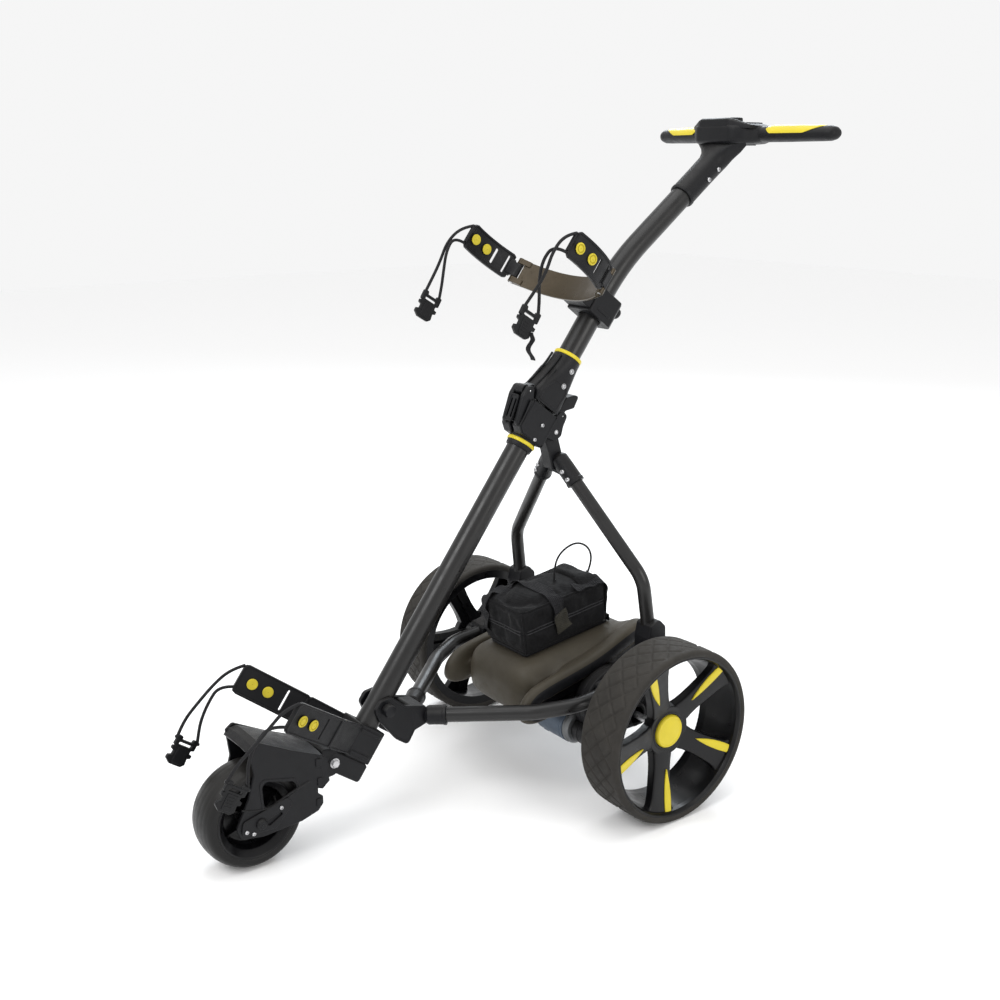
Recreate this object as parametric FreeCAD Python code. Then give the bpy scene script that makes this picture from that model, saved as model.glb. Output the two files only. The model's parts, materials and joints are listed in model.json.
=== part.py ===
import FreeCAD, Part
import math
import os

# Three-wheeled electric golf trolley, in millimetres.
# X runs across the trolley, the front wheel is towards -Y and +Z is up.
# Shapes are drawn with the rear axle at Y = 0 and moved by AXLE_Y when saved,
# so that the origin is on the ground, at the middle of the trolley's footprint.

V = FreeCAD.Vector
AXLE_Y = 132.9

# wheels
REAR_R = 145.0
REAR_IN = 224.0
REAR_OUT = 307.0
RIM_R = 134.0
FRONT_R = 82.0
FRONT_Y = -605.0
FRONT_HALF = 33.0
AXLE_R = 6.0
SPOKES = 5
INSERT_RISE = 2.5
SPOKE_TURN = 22.0

# main tube: its lower end, how steeply it leans, and its size
TUBE_Y = -438.0
TUBE_Z = 110.0
LEAN = 53.5
TUBE_R = 19.0
TUBE_WALL = 1.8

# upper tube: the bend, and the flatter run up to the handle
BEND_UP = 930.0
UPPER_LEAN = 37.8
BEND_R = 400.0
NECK_FROM_BEND = 176.2

# knuckle, in the main tube's own frame: (rearwards, up the tube)
FOLD_PIN = (-50.0, 658.0)
LATCH_PIN = (34.0, 658.0)
HUB_PIN = (38.0, 630.0)
KNUCKLE_HALF = 24.0

# rear legs
LEG_R = 11.5
LEG_WALL = 1.6
LEG_HIP = V(44.5, -8.0, 509.0)
LEG_BEND = V(170.0, 32.0, 366.0)
LEG_FOOT = V(175.0, 50.0, 240.0)

# bag supports, across and forward of the tube
UPPER_ARM_LOW = 822.0
UPPER_ARM_HIGH = 867.0
ARM_PIN = (113.0, 96.0)
LOWER_ARM_LOW = 18.0
LOWER_ARM_HIGH = 67.0
STUD_R = 9.0

# drive
GEAR_TEETH = 69
PINION_TEETH = 15
MODULE = 1.5
MOTOR_Y = -44.5
MOTOR_Z = 100.4
MOTOR_R = 31.0
MOTOR_LEFT = 22.0
GEARBOX_X = (108.0, 142.0)

# battery bag
BAG = (120.0, 190.0, 82.0)
BAG_TILT = 7.5
BAG_CENTRE = V(0, -35.0, 282.0)
CORD_R = 2.5
LEAD_R = 1.75

os.makedirs("parts", exist_ok=True)


def save(name, *shapes):
    """Write one node, moved so that the axle sits AXLE_Y behind the origin."""
    shape = shapes[0] if len(shapes) == 1 else Part.makeCompound(list(shapes))
    shape = shape.copy()
    shape.translate(V(0, AXLE_Y, 0))
    shape.exportStep(f"parts/{name}.step")


def mirrored(shape):
    return shape.mirror(V(0, 0, 0), V(1, 0, 0))


def save_both(name, *shapes):
    """Write pieces and their mirror images as one node."""
    save(name, *shapes, *[mirrored(s) for s in shapes])


def save_pair(name, shape):
    """Write the +X piece and its mirror image as two nodes."""
    save(name + "_right", shape)
    save(name + "_left", mirrored(shape))


def fuse(*shapes):
    return shapes[0].multiFuse(list(shapes[1:])).removeSplitter()


def rod(start, end, radius):
    return Part.makeCylinder(radius, (end - start).Length, start, end - start)


def cross_rod(y, z, x0, x1, radius):
    return rod(V(x0, y, z), V(x1, y, z), radius)


def ring(start, end, outer, inner):
    return rod(start, end, outer).cut(rod(start, end, inner))


def block(x0, x1, y0, y1, z0, z1):
    return Part.makeBox(x1 - x0, y1 - y0, z1 - z0, V(x0, y0, z0))


def side_plate(outline, x0, x1):
    """A plate with its outline in the Y-Z plane, from x0 to x1."""
    points = [V(x0, y, z) for y, z in outline]
    return Part.Face(Part.makePolygon(points + points[:1])).extrude(V(x1 - x0, 0, 0))


def path(points, bend):
    """Straight runs joined by tangent arcs; bend is one radius or one per corner."""
    corners = len(points) - 2
    radii = bend if isinstance(bend, (list, tuple)) else [bend] * corners
    edges = []
    at = points[0]
    for i in range(corners):
        before, corner, after = points[i : i + 3]
        back = (before - corner).normalize()
        on = (after - corner).normalize()
        turn = math.pi - back.getAngle(on)
        reach = radii[i] * math.tan(turn / 2)
        start, end = corner + back * reach, corner + on * reach
        inward = (back + on).normalize()
        middle = corner + inward * (radii[i] / math.cos(turn / 2) - radii[i])
        edges.append(Part.LineSegment(at, start).toShape())
        edges.append(Part.Arc(start, middle, end).toShape())
        at = end
    edges.append(Part.LineSegment(at, points[-1]).toShape())
    return Part.Wire(edges)


def sweep(points, bend, radius):
    line = path(points, bend)
    circle = Part.Wire(Part.makeCircle(radius, points[0], points[1] - points[0]))
    return line.makePipeShell([circle], True, False)


def bent_tube(points, bend, radius, wall):
    first = (points[0] - points[1]).normalize()
    last = (points[-1] - points[-2]).normalize()
    inner = [points[0] + first] + points[1:-1] + [points[-1] + last]
    return sweep(points, bend, radius).cut(sweep(inner, bend, radius - wall))


def limp_radii(points):
    """The widest arc that each corner of a soft cord's route leaves room for."""
    radii = []
    for before, corner, after in zip(points, points[1:], points[2:]):
        back, on = before - corner, after - corner
        turn = math.pi - back.getAngle(on)
        radii.append(0.45 * min(back.Length, on.Length) / math.tan(turn / 2))
    return radii


def cord(points, radius):
    return sweep(points, limp_radii(points), radius)


def leaned(shape):
    """From the main tube's frame (X, rearwards, up the tube) to the trolley's."""
    shape = shape.copy()
    turn = FreeCAD.Rotation(V(1, 0, 0), LEAN - 90)
    shape.Placement = FreeCAD.Placement(V(0, TUBE_Y, TUBE_Z), turn).multiply(shape.Placement)
    return shape


def leaned_point(x, back, up):
    return V(0, TUBE_Y, TUBE_Z) + FreeCAD.Rotation(V(1, 0, 0), LEAN - 90).multVec(V(x, back, up))


BEND = leaned_point(0, 0, BEND_UP)
UPPER_WAY = V(0, math.cos(math.radians(UPPER_LEAN)), math.sin(math.radians(UPPER_LEAN)))
NECK_START = BEND + UPPER_WAY * NECK_FROM_BEND


def revolved(profile, x_centre=0.0, y=0.0, z=REAR_R):
    """A ring turned about an axle along X, from (x, radius) points."""
    points = [V(x_centre + x, y, z + r) for x, r in profile]
    face = Part.Face(Part.makePolygon(points + points[:1]))
    return face.revolve(V(0, y, z), V(1, 0, 0), 360)


def spun(shape, degrees, y=0.0, z=REAR_R):
    shape = shape.copy()
    shape.rotate(V(0, y, z), V(1, 0, 0), degrees)
    return shape


def arc_plate(start, middle, end, thickness, low, high):
    """A curved plate in the main tube's frame; its points are (across, forward)."""
    a, b, c = (V(x, -forward, low) for x, forward in (start, middle, end))
    line = Part.Arc(a, b, c).toShape()
    centre = line.Curve.Center
    outer, inner = [], []
    for p in (a, b, c):
        out = (p - centre).normalize()
        outer.append(p + out * (thickness / 2))
        inner.append(p - out * (thickness / 2))
    edges = [
        Part.Arc(*outer).toShape(),
        Part.LineSegment(outer[2], inner[2]).toShape(),
        Part.Arc(*reversed(inner)).toShape(),
        Part.LineSegment(inner[0], outer[0]).toShape(),
    ]
    return Part.Face(Part.Wire(edges)).extrude(V(0, 0, high - low))


# ---------------------------------------------------------------- rear wheels
def dish_face(radius):
    """How far out the dished face of the spokes stands at a radius."""
    return 272 + 0.255 * (radius - 31)


def tapered(points, turn):
    """A prism along X through the wheel, from (sideways, radius) points."""
    points = [V(240, y, REAR_R + r) for y, r in points]
    return spun(Part.Face(Part.makePolygon(points + points[:1])).extrude(V(70, 0, 0)), turn)


def rear_wheel():
    """Tyre, rim with dished spokes, coloured spoke inserts and hub cap of the +X wheel."""
    shoulder, side = 10.0, 7.0
    tyre = revolved([
        (REAR_IN, RIM_R), (REAR_IN, REAR_R - side), (REAR_IN + shoulder, REAR_R),
        (REAR_OUT - shoulder, REAR_R), (REAR_OUT, REAR_R - side), (REAR_OUT, RIM_R),
    ])
    barrel = revolved([
        (REAR_IN + 2, 120), (REAR_IN + 2, RIM_R), (REAR_OUT - 2, RIM_R),
        (REAR_OUT - 2, 130), (REAR_OUT - 8, 127), (REAR_IN + 36, 121), (REAR_IN + 14, 118),
    ])
    hub = revolved([(236, AXLE_R), (236, 20), (256, 31), (272, 31), (272, 14), (268, AXLE_R)])
    dish = revolved([(252, 20), (dish_face(20), 20), (dish_face(129), 129), (281, 129), (262, 60)])
    insert_r = (60, 128)
    skin = revolved([(dish_face(r) + rise, r) for r, rise in zip(
        insert_r + insert_r[::-1], (0, 0, INSERT_RISE, INSERT_RISE))])
    spokes = []
    inserts = []
    for k in range(SPOKES):
        turn = SPOKE_TURN + 360.0 / SPOKES * k
        spokes.append(dish.common(tapered(((-13, 18), (-23, 130), (23, 130), (13, 18)), turn)))
        inserts.append(skin.common(tapered(
            ((-6.5, 62), (-13.5, 82), (-18.5, 104), (-20, 130), (-7, 130), (-4.5, 104), (-4, 80)), turn)))
    cap = revolved([(272, 0), (272, 26), (277, 26), (279, 23), (279, 0)])
    return tyre, fuse(barrel, hub, *spokes).cut(fuse(*inserts)), inserts, cap


tyre, rim, inserts, cap = rear_wheel()
save_both("rear_tyres", tyre)
save_both("rear_rims", rim)
save_both("spoke_inserts", *inserts)
save_both("hub_caps", cap)
save("rear_axle", cross_rod(0, REAR_R, -268, 268, AXLE_R))


# ---------------------------------------------------------------- gears
def gear(teeth, x0, x1, y, z, bore, first_tooth):
    """A spur gear about X; first_tooth is the angle of one tooth's middle."""
    pitch = MODULE * teeth / 2
    base = pitch * math.cos(math.radians(20))
    tip = pitch + 0.85 * MODULE
    root = pitch - 1.15 * MODULE
    slack = 0.12 / pitch

    def spread(r):
        pressure = math.acos(min(1, base / r))
        return math.tan(pressure) - pressure

    half = math.pi / (2 * teeth) - slack + spread(pitch)
    outline = []
    for k in range(teeth):
        middle = math.radians(first_tooth) + 2 * math.pi * k / teeth
        radii = [max(root, base), (max(root, base) + tip) / 2, tip]
        flank = [(r, half - spread(r)) for r in radii]
        if root < base:
            flank.insert(0, (root, half))
        outline += [(r, middle - a) for r, a in flank]
        outline += [(r, middle + a) for r, a in reversed(flank)]
    points = [V(x0, y + r * math.cos(a), z + r * math.sin(a)) for r, a in outline]
    blank = Part.Face(Part.makePolygon(points + points[:1])).extrude(V(x1 - x0, 0, 0))
    return blank.cut(cross_rod(y, z, x0 - 1, x1 + 1, bore))


MESH_ANGLE = math.degrees(math.atan2(MOTOR_Z - REAR_R, MOTOR_Y))
save("drive_gear", gear(GEAR_TEETH, 118, 128, 0, REAR_R, AXLE_R, MESH_ANGLE))
pinion = gear(PINION_TEETH, 116, 130, MOTOR_Y, MOTOR_Z, 3, MESH_ANGLE + 180 + 180 / PINION_TEETH)
rotor = cross_rod(MOTOR_Y, MOTOR_Z, 40, 86, 21)
save("motor_pinion", fuse(pinion, cross_rod(MOTOR_Y, MOTOR_Z, 30, 136, 3), rotor))


# ---------------------------------------------------------------- motor, gearbox
def gearbox():
    """A closed casing round both gears, with running clearance at the shafts."""
    x0, x1 = GEARBOX_X
    wall = 3.0
    outer = fuse(cross_rod(0, REAR_R, x0, x1, 61), cross_rod(MOTOR_Y, MOTOR_Z, x0, x1, 22))
    inner = fuse(
        cross_rod(0, REAR_R, x0 + wall, x1 - wall, 57.5),
        cross_rod(MOTOR_Y, MOTOR_Z, x0 + wall, x1 - wall, 15),
    )
    box = outer.cut(inner)
    box = box.cut(cross_rod(0, REAR_R, x0 - 1, x1 + 1, AXLE_R + 0.5))
    return box.cut(cross_rod(MOTOR_Y, MOTOR_Z, x0 - 1, x1 - wall, 3.06))


save("gearbox", gearbox())
can = cross_rod(MOTOR_Y, MOTOR_Z, MOTOR_LEFT, 96, MOTOR_R)
can = can.makeFillet(4, [e for e in can.Edges if e.BoundBox.XMax < MOTOR_LEFT + 1])
can = can.cut(cross_rod(MOTOR_Y, MOTOR_Z, MOTOR_LEFT + 4, 97, MOTOR_R - 3))
save("motor_can", can)
bell = fuse(
    cross_rod(MOTOR_Y, MOTOR_Z, 96, 108, MOTOR_R - 1),
    cross_rod(MOTOR_Y, MOTOR_Z, 90, 96, MOTOR_R - 3),
)
bearing = ring(V(26, MOTOR_Y, MOTOR_Z), V(34, MOTOR_Y, MOTOR_Z), 9, 3.05)
save("motor_end_bell", bell.cut(cross_rod(MOTOR_Y, MOTOR_Z, 80, 110, 3.06)), bearing)


# ---------------------------------------------------------------- housing
SIDE_TUBE = [V(28, -292, 162.5), V(140, -168, 174), V(172, -108, 181), V(173, -28, 188)]
SIDE_TUBE_R = 12.5
HUMP_HALF = 86.0
FIN_X = (100.0, 128.0)
FIN = [(-122, 134), (-152, 134), (-170, 148), (-170, 166), (-152, 190), (-124, 203), (-80, 212),
       (-10, 228), (50, 250), (84, 262), (106, 250), (116, 215), (116, 120), (0, 80)]
CHANNEL_DEPTH = 26.0
SHELL = 3.0
TRAY_Z = 154.0
TRAY_THICK = 4.0
TRAY_FRONT = -108.0
HUMP = [(-122, 132), (-144, 132), (-152, 150), (-146, 196), (-130, 218), (-112, 224.6),
        (70, 248.6), (92, 240), (104, 215), (106, 160)]
HUMP_INSIDE = [(-122, 120), (-140, 132), (-148, 152), (-142, 194), (-128, 214), (-111, 221),
               (69, 245), (90, 237), (100, 213), (102, 80)]


def housing_cover():
    """The saddle-shaped hood that the battery tray stands on, open below."""
    outer = side_plate(HUMP, -HUMP_HALF, HUMP_HALF)
    edges = [e for e in outer.Edges if abs(e.BoundBox.XMax - e.BoundBox.XMin) < 0.01]
    edges = [e for e in edges if e.BoundBox.ZMax > 125]
    outer = outer.makeFillet(6, edges)
    hood = outer.cut(side_plate(HUMP_INSIDE, SHELL - HUMP_HALF, HUMP_HALF - SHELL))
    return hood.cut(block(-HUMP_HALF - 1, HUMP_HALF + 1, TRAY_FRONT - 1, 120, 60, TRAY_Z + TRAY_THICK))


def side_fin():
    """The rounded rim beside the hood: a band, its inner wall and the channel's floor."""
    x0, x1 = FIN_X
    points = [V(0, y, z) for y, z in FIN]
    face = Part.Face(Part.makePolygon(points + points[:1]))

    def band(start, end, low, high):
        outer = face.makeOffset2D(-start) if start else face
        strip = outer.cut(face.makeOffset2D(-end)).extrude(V(high - low, 0, 0))
        strip.translate(V(low, 0, 0))
        return strip

    whole = fuse(
        band(0, 4, x0, x1),
        band(0, CHANNEL_DEPTH, x0, x0 + SHELL),
        band(CHANNEL_DEPTH - SHELL, CHANNEL_DEPTH, HUMP_HALF, x0),
    )
    whole = whole.cut(block(80, 140, TRAY_FRONT - 1, 120, 60, TRAY_Z + TRAY_THICK))
    return whole.cut(sweep(SIDE_TUBE, [70, 70], SIDE_TUBE_R + 1))


save("housing_cover", housing_cover())
save_both("side_fins", side_fin())
tray = block(-150, 150, TRAY_FRONT, 98, TRAY_Z, TRAY_Z + TRAY_THICK)
tray = tray.cut(block(GEARBOX_X[0] - 1, GEARBOX_X[1] + 1, -66, 66, TRAY_Z - 1, TRAY_Z + 5))
saddle = block(40, 84, MOTOR_Y - 24, MOTOR_Y + 24, MOTOR_Z, TRAY_Z + 1)
saddle = saddle.cut(cross_rod(MOTOR_Y, MOTOR_Z, 30, 100, MOTOR_R))
save("undertray", fuse(tray, saddle))
save("controller", block(-78, -8, -70, 20, TRAY_Z + TRAY_THICK, TRAY_Z + 32))


# ---------------------------------------------------------------- axle carriers
def axle_carrier():
    """The casting that joins the axle bearing, the side tube and the leg's foot."""
    outline = [(-56, 174), (-30, 132), (-18, 122), (18, 122), (46, 140), (70, 176),
               (70, 218), (30, 218), (-20, 206), (-56, 201)]
    body = side_plate(outline, 155, 195)
    body = body.cut(cross_rod(0, REAR_R, 150, 200, 14))
    return body.cut(sweep(SIDE_TUBE, [70, 70], SIDE_TUBE_R))


def leg_foot():
    outline = [(30, 218), (28, 270), (34, 292), (52, 298), (66, 284), (70, 218)]
    body = side_plate(outline, 157, 193)
    return body.cut(sweep([LEG_HIP, LEG_BEND, LEG_FOOT], [60], LEG_R))


save_both("axle_carriers", fuse(axle_carrier(), leg_foot()))
save_both("axle_bearings", ring(V(160, 0, REAR_R), V(172, 0, REAR_R), 14, AXLE_R + 0.05))
save_both("side_tubes", bent_tube(SIDE_TUBE, [70, 70], SIDE_TUBE_R, 2))


# ---------------------------------------------------------------- rear legs
LEG_WAY = (LEG_BEND - LEG_HIP).normalize()
LEG_TOP = LEG_HIP - LEG_WAY * 34


def leg_hub():
    """The yoke that hangs behind the knuckle and holds the two legs."""
    tongue = leaned(side_plate(
        [(27, 640), (48, 642), (55, 628), (88, 603), (94, 586), (78, 578), (52, 598), (30, 612)],
        -12.5, 12.5))
    near = rod(LEG_HIP - LEG_WAY * 56, LEG_HIP, 15)
    hub = fuse(tongue, near, mirrored(near))
    leg = rod(LEG_TOP, LEG_HIP + LEG_WAY * 5, LEG_R)
    pin_low, pin_high = leaned_point(-30, *HUB_PIN), leaned_point(30, *HUB_PIN)
    return hub.cut(leg).cut(mirrored(leg)).cut(rod(pin_low, pin_high, 4))


save("leg_hub", leg_hub())
save_both("legs", bent_tube([LEG_TOP, LEG_BEND, LEG_FOOT], [60], LEG_R, LEG_WALL))
bolts = []
for along in (-10, -26):
    at = LEG_HIP + LEG_WAY * along
    out = V(LEG_WAY.y, -LEG_WAY.x, 0).normalize()
    bolts.append(rod(at + out * 15, at + out * 18, 4))
for y, z in ((47, 262), (49, 244)):
    bolts.append(cross_rod(y, z, 193, 196, 4.5))
frame_screws = bolts + [mirrored(b) for b in bolts]


# ---------------------------------------------------------------- knuckle
def pin_hole(pin, radius, half=40):
    return rod(V(-half, *pin), V(half, *pin), radius)


def lower_knuckle():
    """The fixed half: tube socket, front hinge ears, rear ears for hub and latch."""
    y, z = FOLD_PIN
    body = side_plate([(-38, 600), (-25, 590), (25, 590), (25, 650), (-38, 650)],
                      -KNUCKLE_HALF, KNUCKLE_HALF)
    collar = rod(V(0, 0, 574), V(0, 0, 592), 22)
    parts = [body, collar]
    ear = side_plate([(-44, 598), (y - 9, z - 6), (y - 9, z), (y + 9, z), (-36, 649), (-30, 598)],
                     10.5, KNUCKLE_HALF)
    ear = ear.fuse(rod(V(10.5, y, z), V(KNUCKLE_HALF, y, z), 9))
    rear = side_plate([(20, 612), (44, 616), (50, 630), (44, 644), (41, 658), (27, 658), (24, 649)],
                      14, 22)
    rear = rear.fuse(rod(V(14, *LATCH_PIN), V(22, *LATCH_PIN), 7))
    for half in (ear, rear):
        parts += [half, mirrored(half)]
    whole = fuse(*parts)
    whole = whole.cut(rod(V(0, 0, 570), V(0, 0, 640), TUBE_R))
    for pin, radius in ((FOLD_PIN, 4), (LATCH_PIN, 2), (HUB_PIN, 4)):
        whole = whole.cut(pin_hole(pin, radius))
    return whole


def upper_knuckle():
    """The folding half: tube socket and the hinge barrel between the front ears."""
    y, z = FOLD_PIN
    body = side_plate([(-40, 670), (-24, 725), (-24, 746), (24, 746), (24, 712), (19, 706),
                       (19, 690), (25, 684), (25, 653), (-33, 653)], -KNUCKLE_HALF, KNUCKLE_HALF)
    barrel = rod(V(-10, y, z), V(10, y, z), 9)
    web = side_plate([(y, z + 9), (-38, 676), (-30, 660), (-33, 653.5), (y + 6, z - 6)], -10, 10)
    whole = fuse(body, barrel, web)
    whole = whole.cut(rod(V(0, 0, 664), V(0, 0, 760), TUBE_R))
    return whole.cut(pin_hole(FOLD_PIN, 4.05))


def front_cover():
    cover = side_plate([(-38, 600), (-47, 602), (-56, 640), (-54, 645), (-38, 645)], -10, 10)
    for x in (-5, 5):
        cover = cover.cut(block(x - 1.5, x + 1.5, -70, -42, 606, 640))
    return cover


def latch_lever():
    lever = side_plate([(28.5, 656), (40, 656), (41, 672), (54, 684), (51, 705), (42, 702),
                        (30, 690), (28.5, 690)], -13.5, 13.5)
    lever = lever.fuse(rod(V(-13.5, *LATCH_PIN), V(13.5, *LATCH_PIN), 6))
    return lever.cut(pin_hole(LATCH_PIN, 2.05)).removeSplitter()


def knuckle_screws(heights):
    """Button heads on both sides of the knuckle."""
    screws = []
    for side in (-1, 1):
        for z in heights:
            face = side * KNUCKLE_HALF
            screws.append(rod(V(face, 3, z), V(face + side * 2.5, 3, z), 4))
    return screws


save("knuckle_lower", leaned(fuse(lower_knuckle(), front_cover())))
save("knuckle_upper", leaned(upper_knuckle()))
pins = [rod(V(-half, *at), V(half, *at), radius)
        for at, half, radius in ((FOLD_PIN, 26, 4), (HUB_PIN, 24, 4), (LATCH_PIN, 23, 2))]
save("knuckle_pins", *[leaned(p) for p in pins])
save("latch_lever", leaned(latch_lever()))
frame_screws += [leaned(s) for s in knuckle_screws((624, 597))]
upper_screws = [leaned(s) for s in knuckle_screws((726, 698))]
save("lower_ring", leaned(ring(V(0, 0, 582), V(0, 0, 588), 24.5, 22)))
save("upper_ring", leaned(ring(V(0, 0, 746), V(0, 0, 752), 24.5, TUBE_R)))


# ---------------------------------------------------------------- main tubes
PIVOT = (2.0, 106.0)
lower_tube = rod(V(0, 0, 0), V(0, 0, 640), TUBE_R).cut(rod(V(0, 0, -1), V(0, 0, 641), TUBE_R - TUBE_WALL))
save("lower_tube", leaned(lower_tube.cut(pin_hole(PIVOT, 5))))
upper_line = [leaned_point(0, 0, 664), BEND, NECK_START + UPPER_WAY * 62]
save("upper_tube", bent_tube(upper_line, [BEND_R], TUBE_R, TUBE_WALL))


# ---------------------------------------------------------------- front bracket
def front_bracket():
    """Two cheeks beside the main tube, and the sockets of the side tubes."""
    cheek = side_plate([(-394, 196), (-384, 210), (-364, 212), (-338, 190), (-300, 180),
                        (-300, 150), (-322, 144), (-336, 122), (-358, 138), (-386, 176)], 20, 27)
    bridge = side_plate([(-330, 186), (-300, 180), (-296, 150), (-322, 144)], -27, 27)
    way = (SIDE_TUBE[1] - SIDE_TUBE[0]).normalize()
    socket = rod(SIDE_TUBE[0] - way * 8, SIDE_TUBE[0] + way * 26, 16)
    whole = fuse(cheek, mirrored(cheek), bridge, socket, mirrored(socket))
    tube = rod(SIDE_TUBE[0], SIDE_TUBE[0] + way * 40, SIDE_TUBE_R)
    whole = whole.cut(tube).cut(mirrored(tube))
    whole = whole.cut(leaned(rod(V(0, 0, 0), V(0, 0, 300), TUBE_R)))
    return whole.cut(leaned(pin_hole(PIVOT, 5)))


save("front_bracket", front_bracket())
pivot_rod = leaned(rod(V(-31, *PIVOT), V(31, *PIVOT), 5))
knob = leaned(ring(V(27, *PIVOT), V(40, *PIVOT), 11, 5))
save("pivot_bolt", pivot_rod, knob, mirrored(knob))


# ---------------------------------------------------------------- fork and front wheel
PLATE_IN = 38.0
PLATE_OUT = 43.5


def front_fork():
    """Mudguard-like fork: side plates, a bridge over the wheel and the tube's socket."""
    plate = side_plate([(-614, 203), (-602, 212), (-546, 181), (-506, 162), (-500, 120),
                        (-507, 99), (-500, 84), (-509, 70), (-537, 62), (-600, 58), (-636, 64),
                        (-643, 82), (-621, 124), (-610, 160)], PLATE_IN, PLATE_OUT)
    plate = plate.cut(side_plate([(-598, 145), (-549, 131), (-542, 119), (-595, 99)], 30, 50))
    bridge = side_plate([(-614, 203), (-602, 212), (-546, 181), (-506, 162), (-486, 158),
                         (-486, 112), (-508, 104), (-515, 122), (-534, 152), (-568, 175),
                         (-600, 194), (-610, 197)], -PLATE_OUT, PLATE_OUT)
    head = leaned(block(-27, 27, -50, 23, -16, 15))
    neck = side_plate([(-490, 158), (-468, 152), (-468, 108), (-490, 110)], -27, 27)
    whole = fuse(plate, mirrored(plate), bridge, head, neck)
    whole = whole.cut(leaned(rod(V(0, 0, 0), V(0, 0, 60), TUBE_R)))
    whole = whole.cut(cross_rod(FRONT_Y, FRONT_R, -60, 60, 5))
    return whole.cut(leaned(pin_hole((-38, -2), 5)))


def front_wheel():
    tyre = revolved([(-FRONT_HALF, 58), (-FRONT_HALF, 66), (-29, 74), (-20, 80), (-8, FRONT_R),
                     (8, FRONT_R), (20, 80), (29, 74), (FRONT_HALF, 66), (FRONT_HALF, 58)],
                    0, FRONT_Y, FRONT_R)
    rim = revolved([(-31, 52), (-31, 58), (31, 58), (31, 52), (24, 50), (4, 46), (4, 20),
                    (27, 18), (27, 13), (-27, 13), (-27, 18), (-4, 20), (-4, 46), (-24, 50)],
                   0, FRONT_Y, FRONT_R)
    return tyre, rim


save("front_fork", front_fork())
fork_bolt = leaned(fuse(rod(V(-33, -38, -2), V(33, -38, -2), 5), rod(V(27, -38, -2), V(33, -38, -2), 8),
                        rod(V(-33, -38, -2), V(-27, -38, -2), 8)))
frame_screws.append(fork_bolt)
tyre, rim = front_wheel()
save("front_tyre", tyre)
save("front_rim", rim)
bearing = ring(V(15, FRONT_Y, FRONT_R), V(27, FRONT_Y, FRONT_R), 13, 5.05)
save_both("front_bearings", bearing)
spacer = ring(V(27.3, FRONT_Y, FRONT_R), V(PLATE_IN, FRONT_Y, FRONT_R), 8, 5)
save("front_axle", cross_rod(FRONT_Y, FRONT_R, -50, 50, 5), spacer, mirrored(spacer))
adjuster = side_plate([(-638, 68), (-634, 92), (-560, 112), (-552, 98), (-580, 66)], PLATE_OUT, 46.5)
adjuster = adjuster.cut(cross_rod(FRONT_Y, FRONT_R, 40, 50, 5))
save_both("axle_plates", adjuster)
screws = [cross_rod(y, z, 46.5, 49, 3.2) for y, z in ((-629, 76), (-618, 70), (-572, 98))]
save("frame_screws", *frame_screws, *screws, *[mirrored(s) for s in screws])


# ---------------------------------------------------------------- lower bag support
def stud(at, out, thickness):
    """A rubber button: a stem through the arm and a round head on each face."""
    half = thickness / 2
    return fuse(rod(at - out * half, at + out * half, 5),
                rod(at + out * half, at + out * (half + 2), STUD_R),
                rod(at - out * (half + 2), at - out * half, STUD_R))


LOWER_KNEE = V(52, -84, 0)
LOWER_TIP = V(88, -194, 0)
LOWER_THICK = 7.0


def lower_support():
    """A clamp block on the tube and two straight arms spreading forwards."""
    low, high = LOWER_ARM_LOW, LOWER_ARM_HIGH
    rise = V(0, 0, low)
    half = LOWER_THICK / 2
    points = [V(20 - half, -20, 0), V(52 - half, -85, 0), V(88 - half, -194, 0),
              V(88 + half, -192, 0), V(52 + half, -82, 0), V(27, -10, 0)]
    arm = Part.Face(Part.makePolygon([p + rise for p in points + points[:1]])).extrude(V(0, 0, high - low))
    clamp = block(-27, 27, -30, 24, low - 3, high + 3)
    whole = fuse(arm, mirrored(arm), clamp)
    return whole.cut(rod(V(0, 0, 0), V(0, 0, 100), TUBE_R))


way = (LOWER_TIP - LOWER_KNEE).normalize()
out = V(-way.y, way.x, 0)
middle = V(0, 0, (LOWER_ARM_LOW + LOWER_ARM_HIGH) / 2)
lower_studs = [stud(LOWER_TIP - way * along + middle, out, LOWER_THICK) for along in (24, 52)]
support = lower_support()
slot = block(60, 90, -125, -121, LOWER_ARM_LOW + 8, LOWER_ARM_HIGH - 8)
for cutter in lower_studs + [slot]:
    support = support.cut(cutter).cut(mirrored(cutter))
save("lower_bag_support", leaned(support))
save_both("lower_studs", *[leaned(s) for s in lower_studs])


# ---------------------------------------------------------------- upper bag support
BAND_END = (100.0, 86.0)
ARM_START = (120.0, 106.0)
ARM_MIDDLE = (134.0, 152.0)
ARM_TIP = (131.0, 201.0)
ARM_THICK = 7.0


def cradle_band():
    """The clamp on the tube and the wide curved band in front of it."""
    low, high = UPPER_ARM_LOW, UPPER_ARM_HIGH
    x, forward = BAND_END
    band = arc_plate((-x, forward), (0, 60), (x, forward), 5, low, high)
    clamp = block(-30, 30, -30, 32, low + 2, high + 4)
    neck = block(-28, 28, -59, -28, low + 6, high - 4)
    whole = fuse(band, clamp, neck)
    px, pf = ARM_PIN
    for z0, z1 in ((low, low + 10), (high - 10, high)):
        eye = rod(V(px, -pf, z0), V(px, -pf, z1), 6)
        link = Part.Face(Part.makePolygon([V(a, -b, z0) for a, b in (
            (97, 82), (px + 2, pf - 5), (px - 3, pf + 5), (97, 88), (97, 82))])).extrude(V(0, 0, z1 - z0))
        for piece in (eye, link):
            whole = whole.fuse(piece).fuse(mirrored(piece))
    whole = whole.removeSplitter()
    for side in (-1, 1):
        whole = whole.cut(rod(V(side * px, -pf, 800), V(side * px, -pf, 900), 3))
    whole = whole.cut(rod(V(0, 0, 800), V(0, 0, 900), TUBE_R))
    return whole.cut(rod(V(0, 19, 862), V(0, 40, 862), 3.06))


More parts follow.
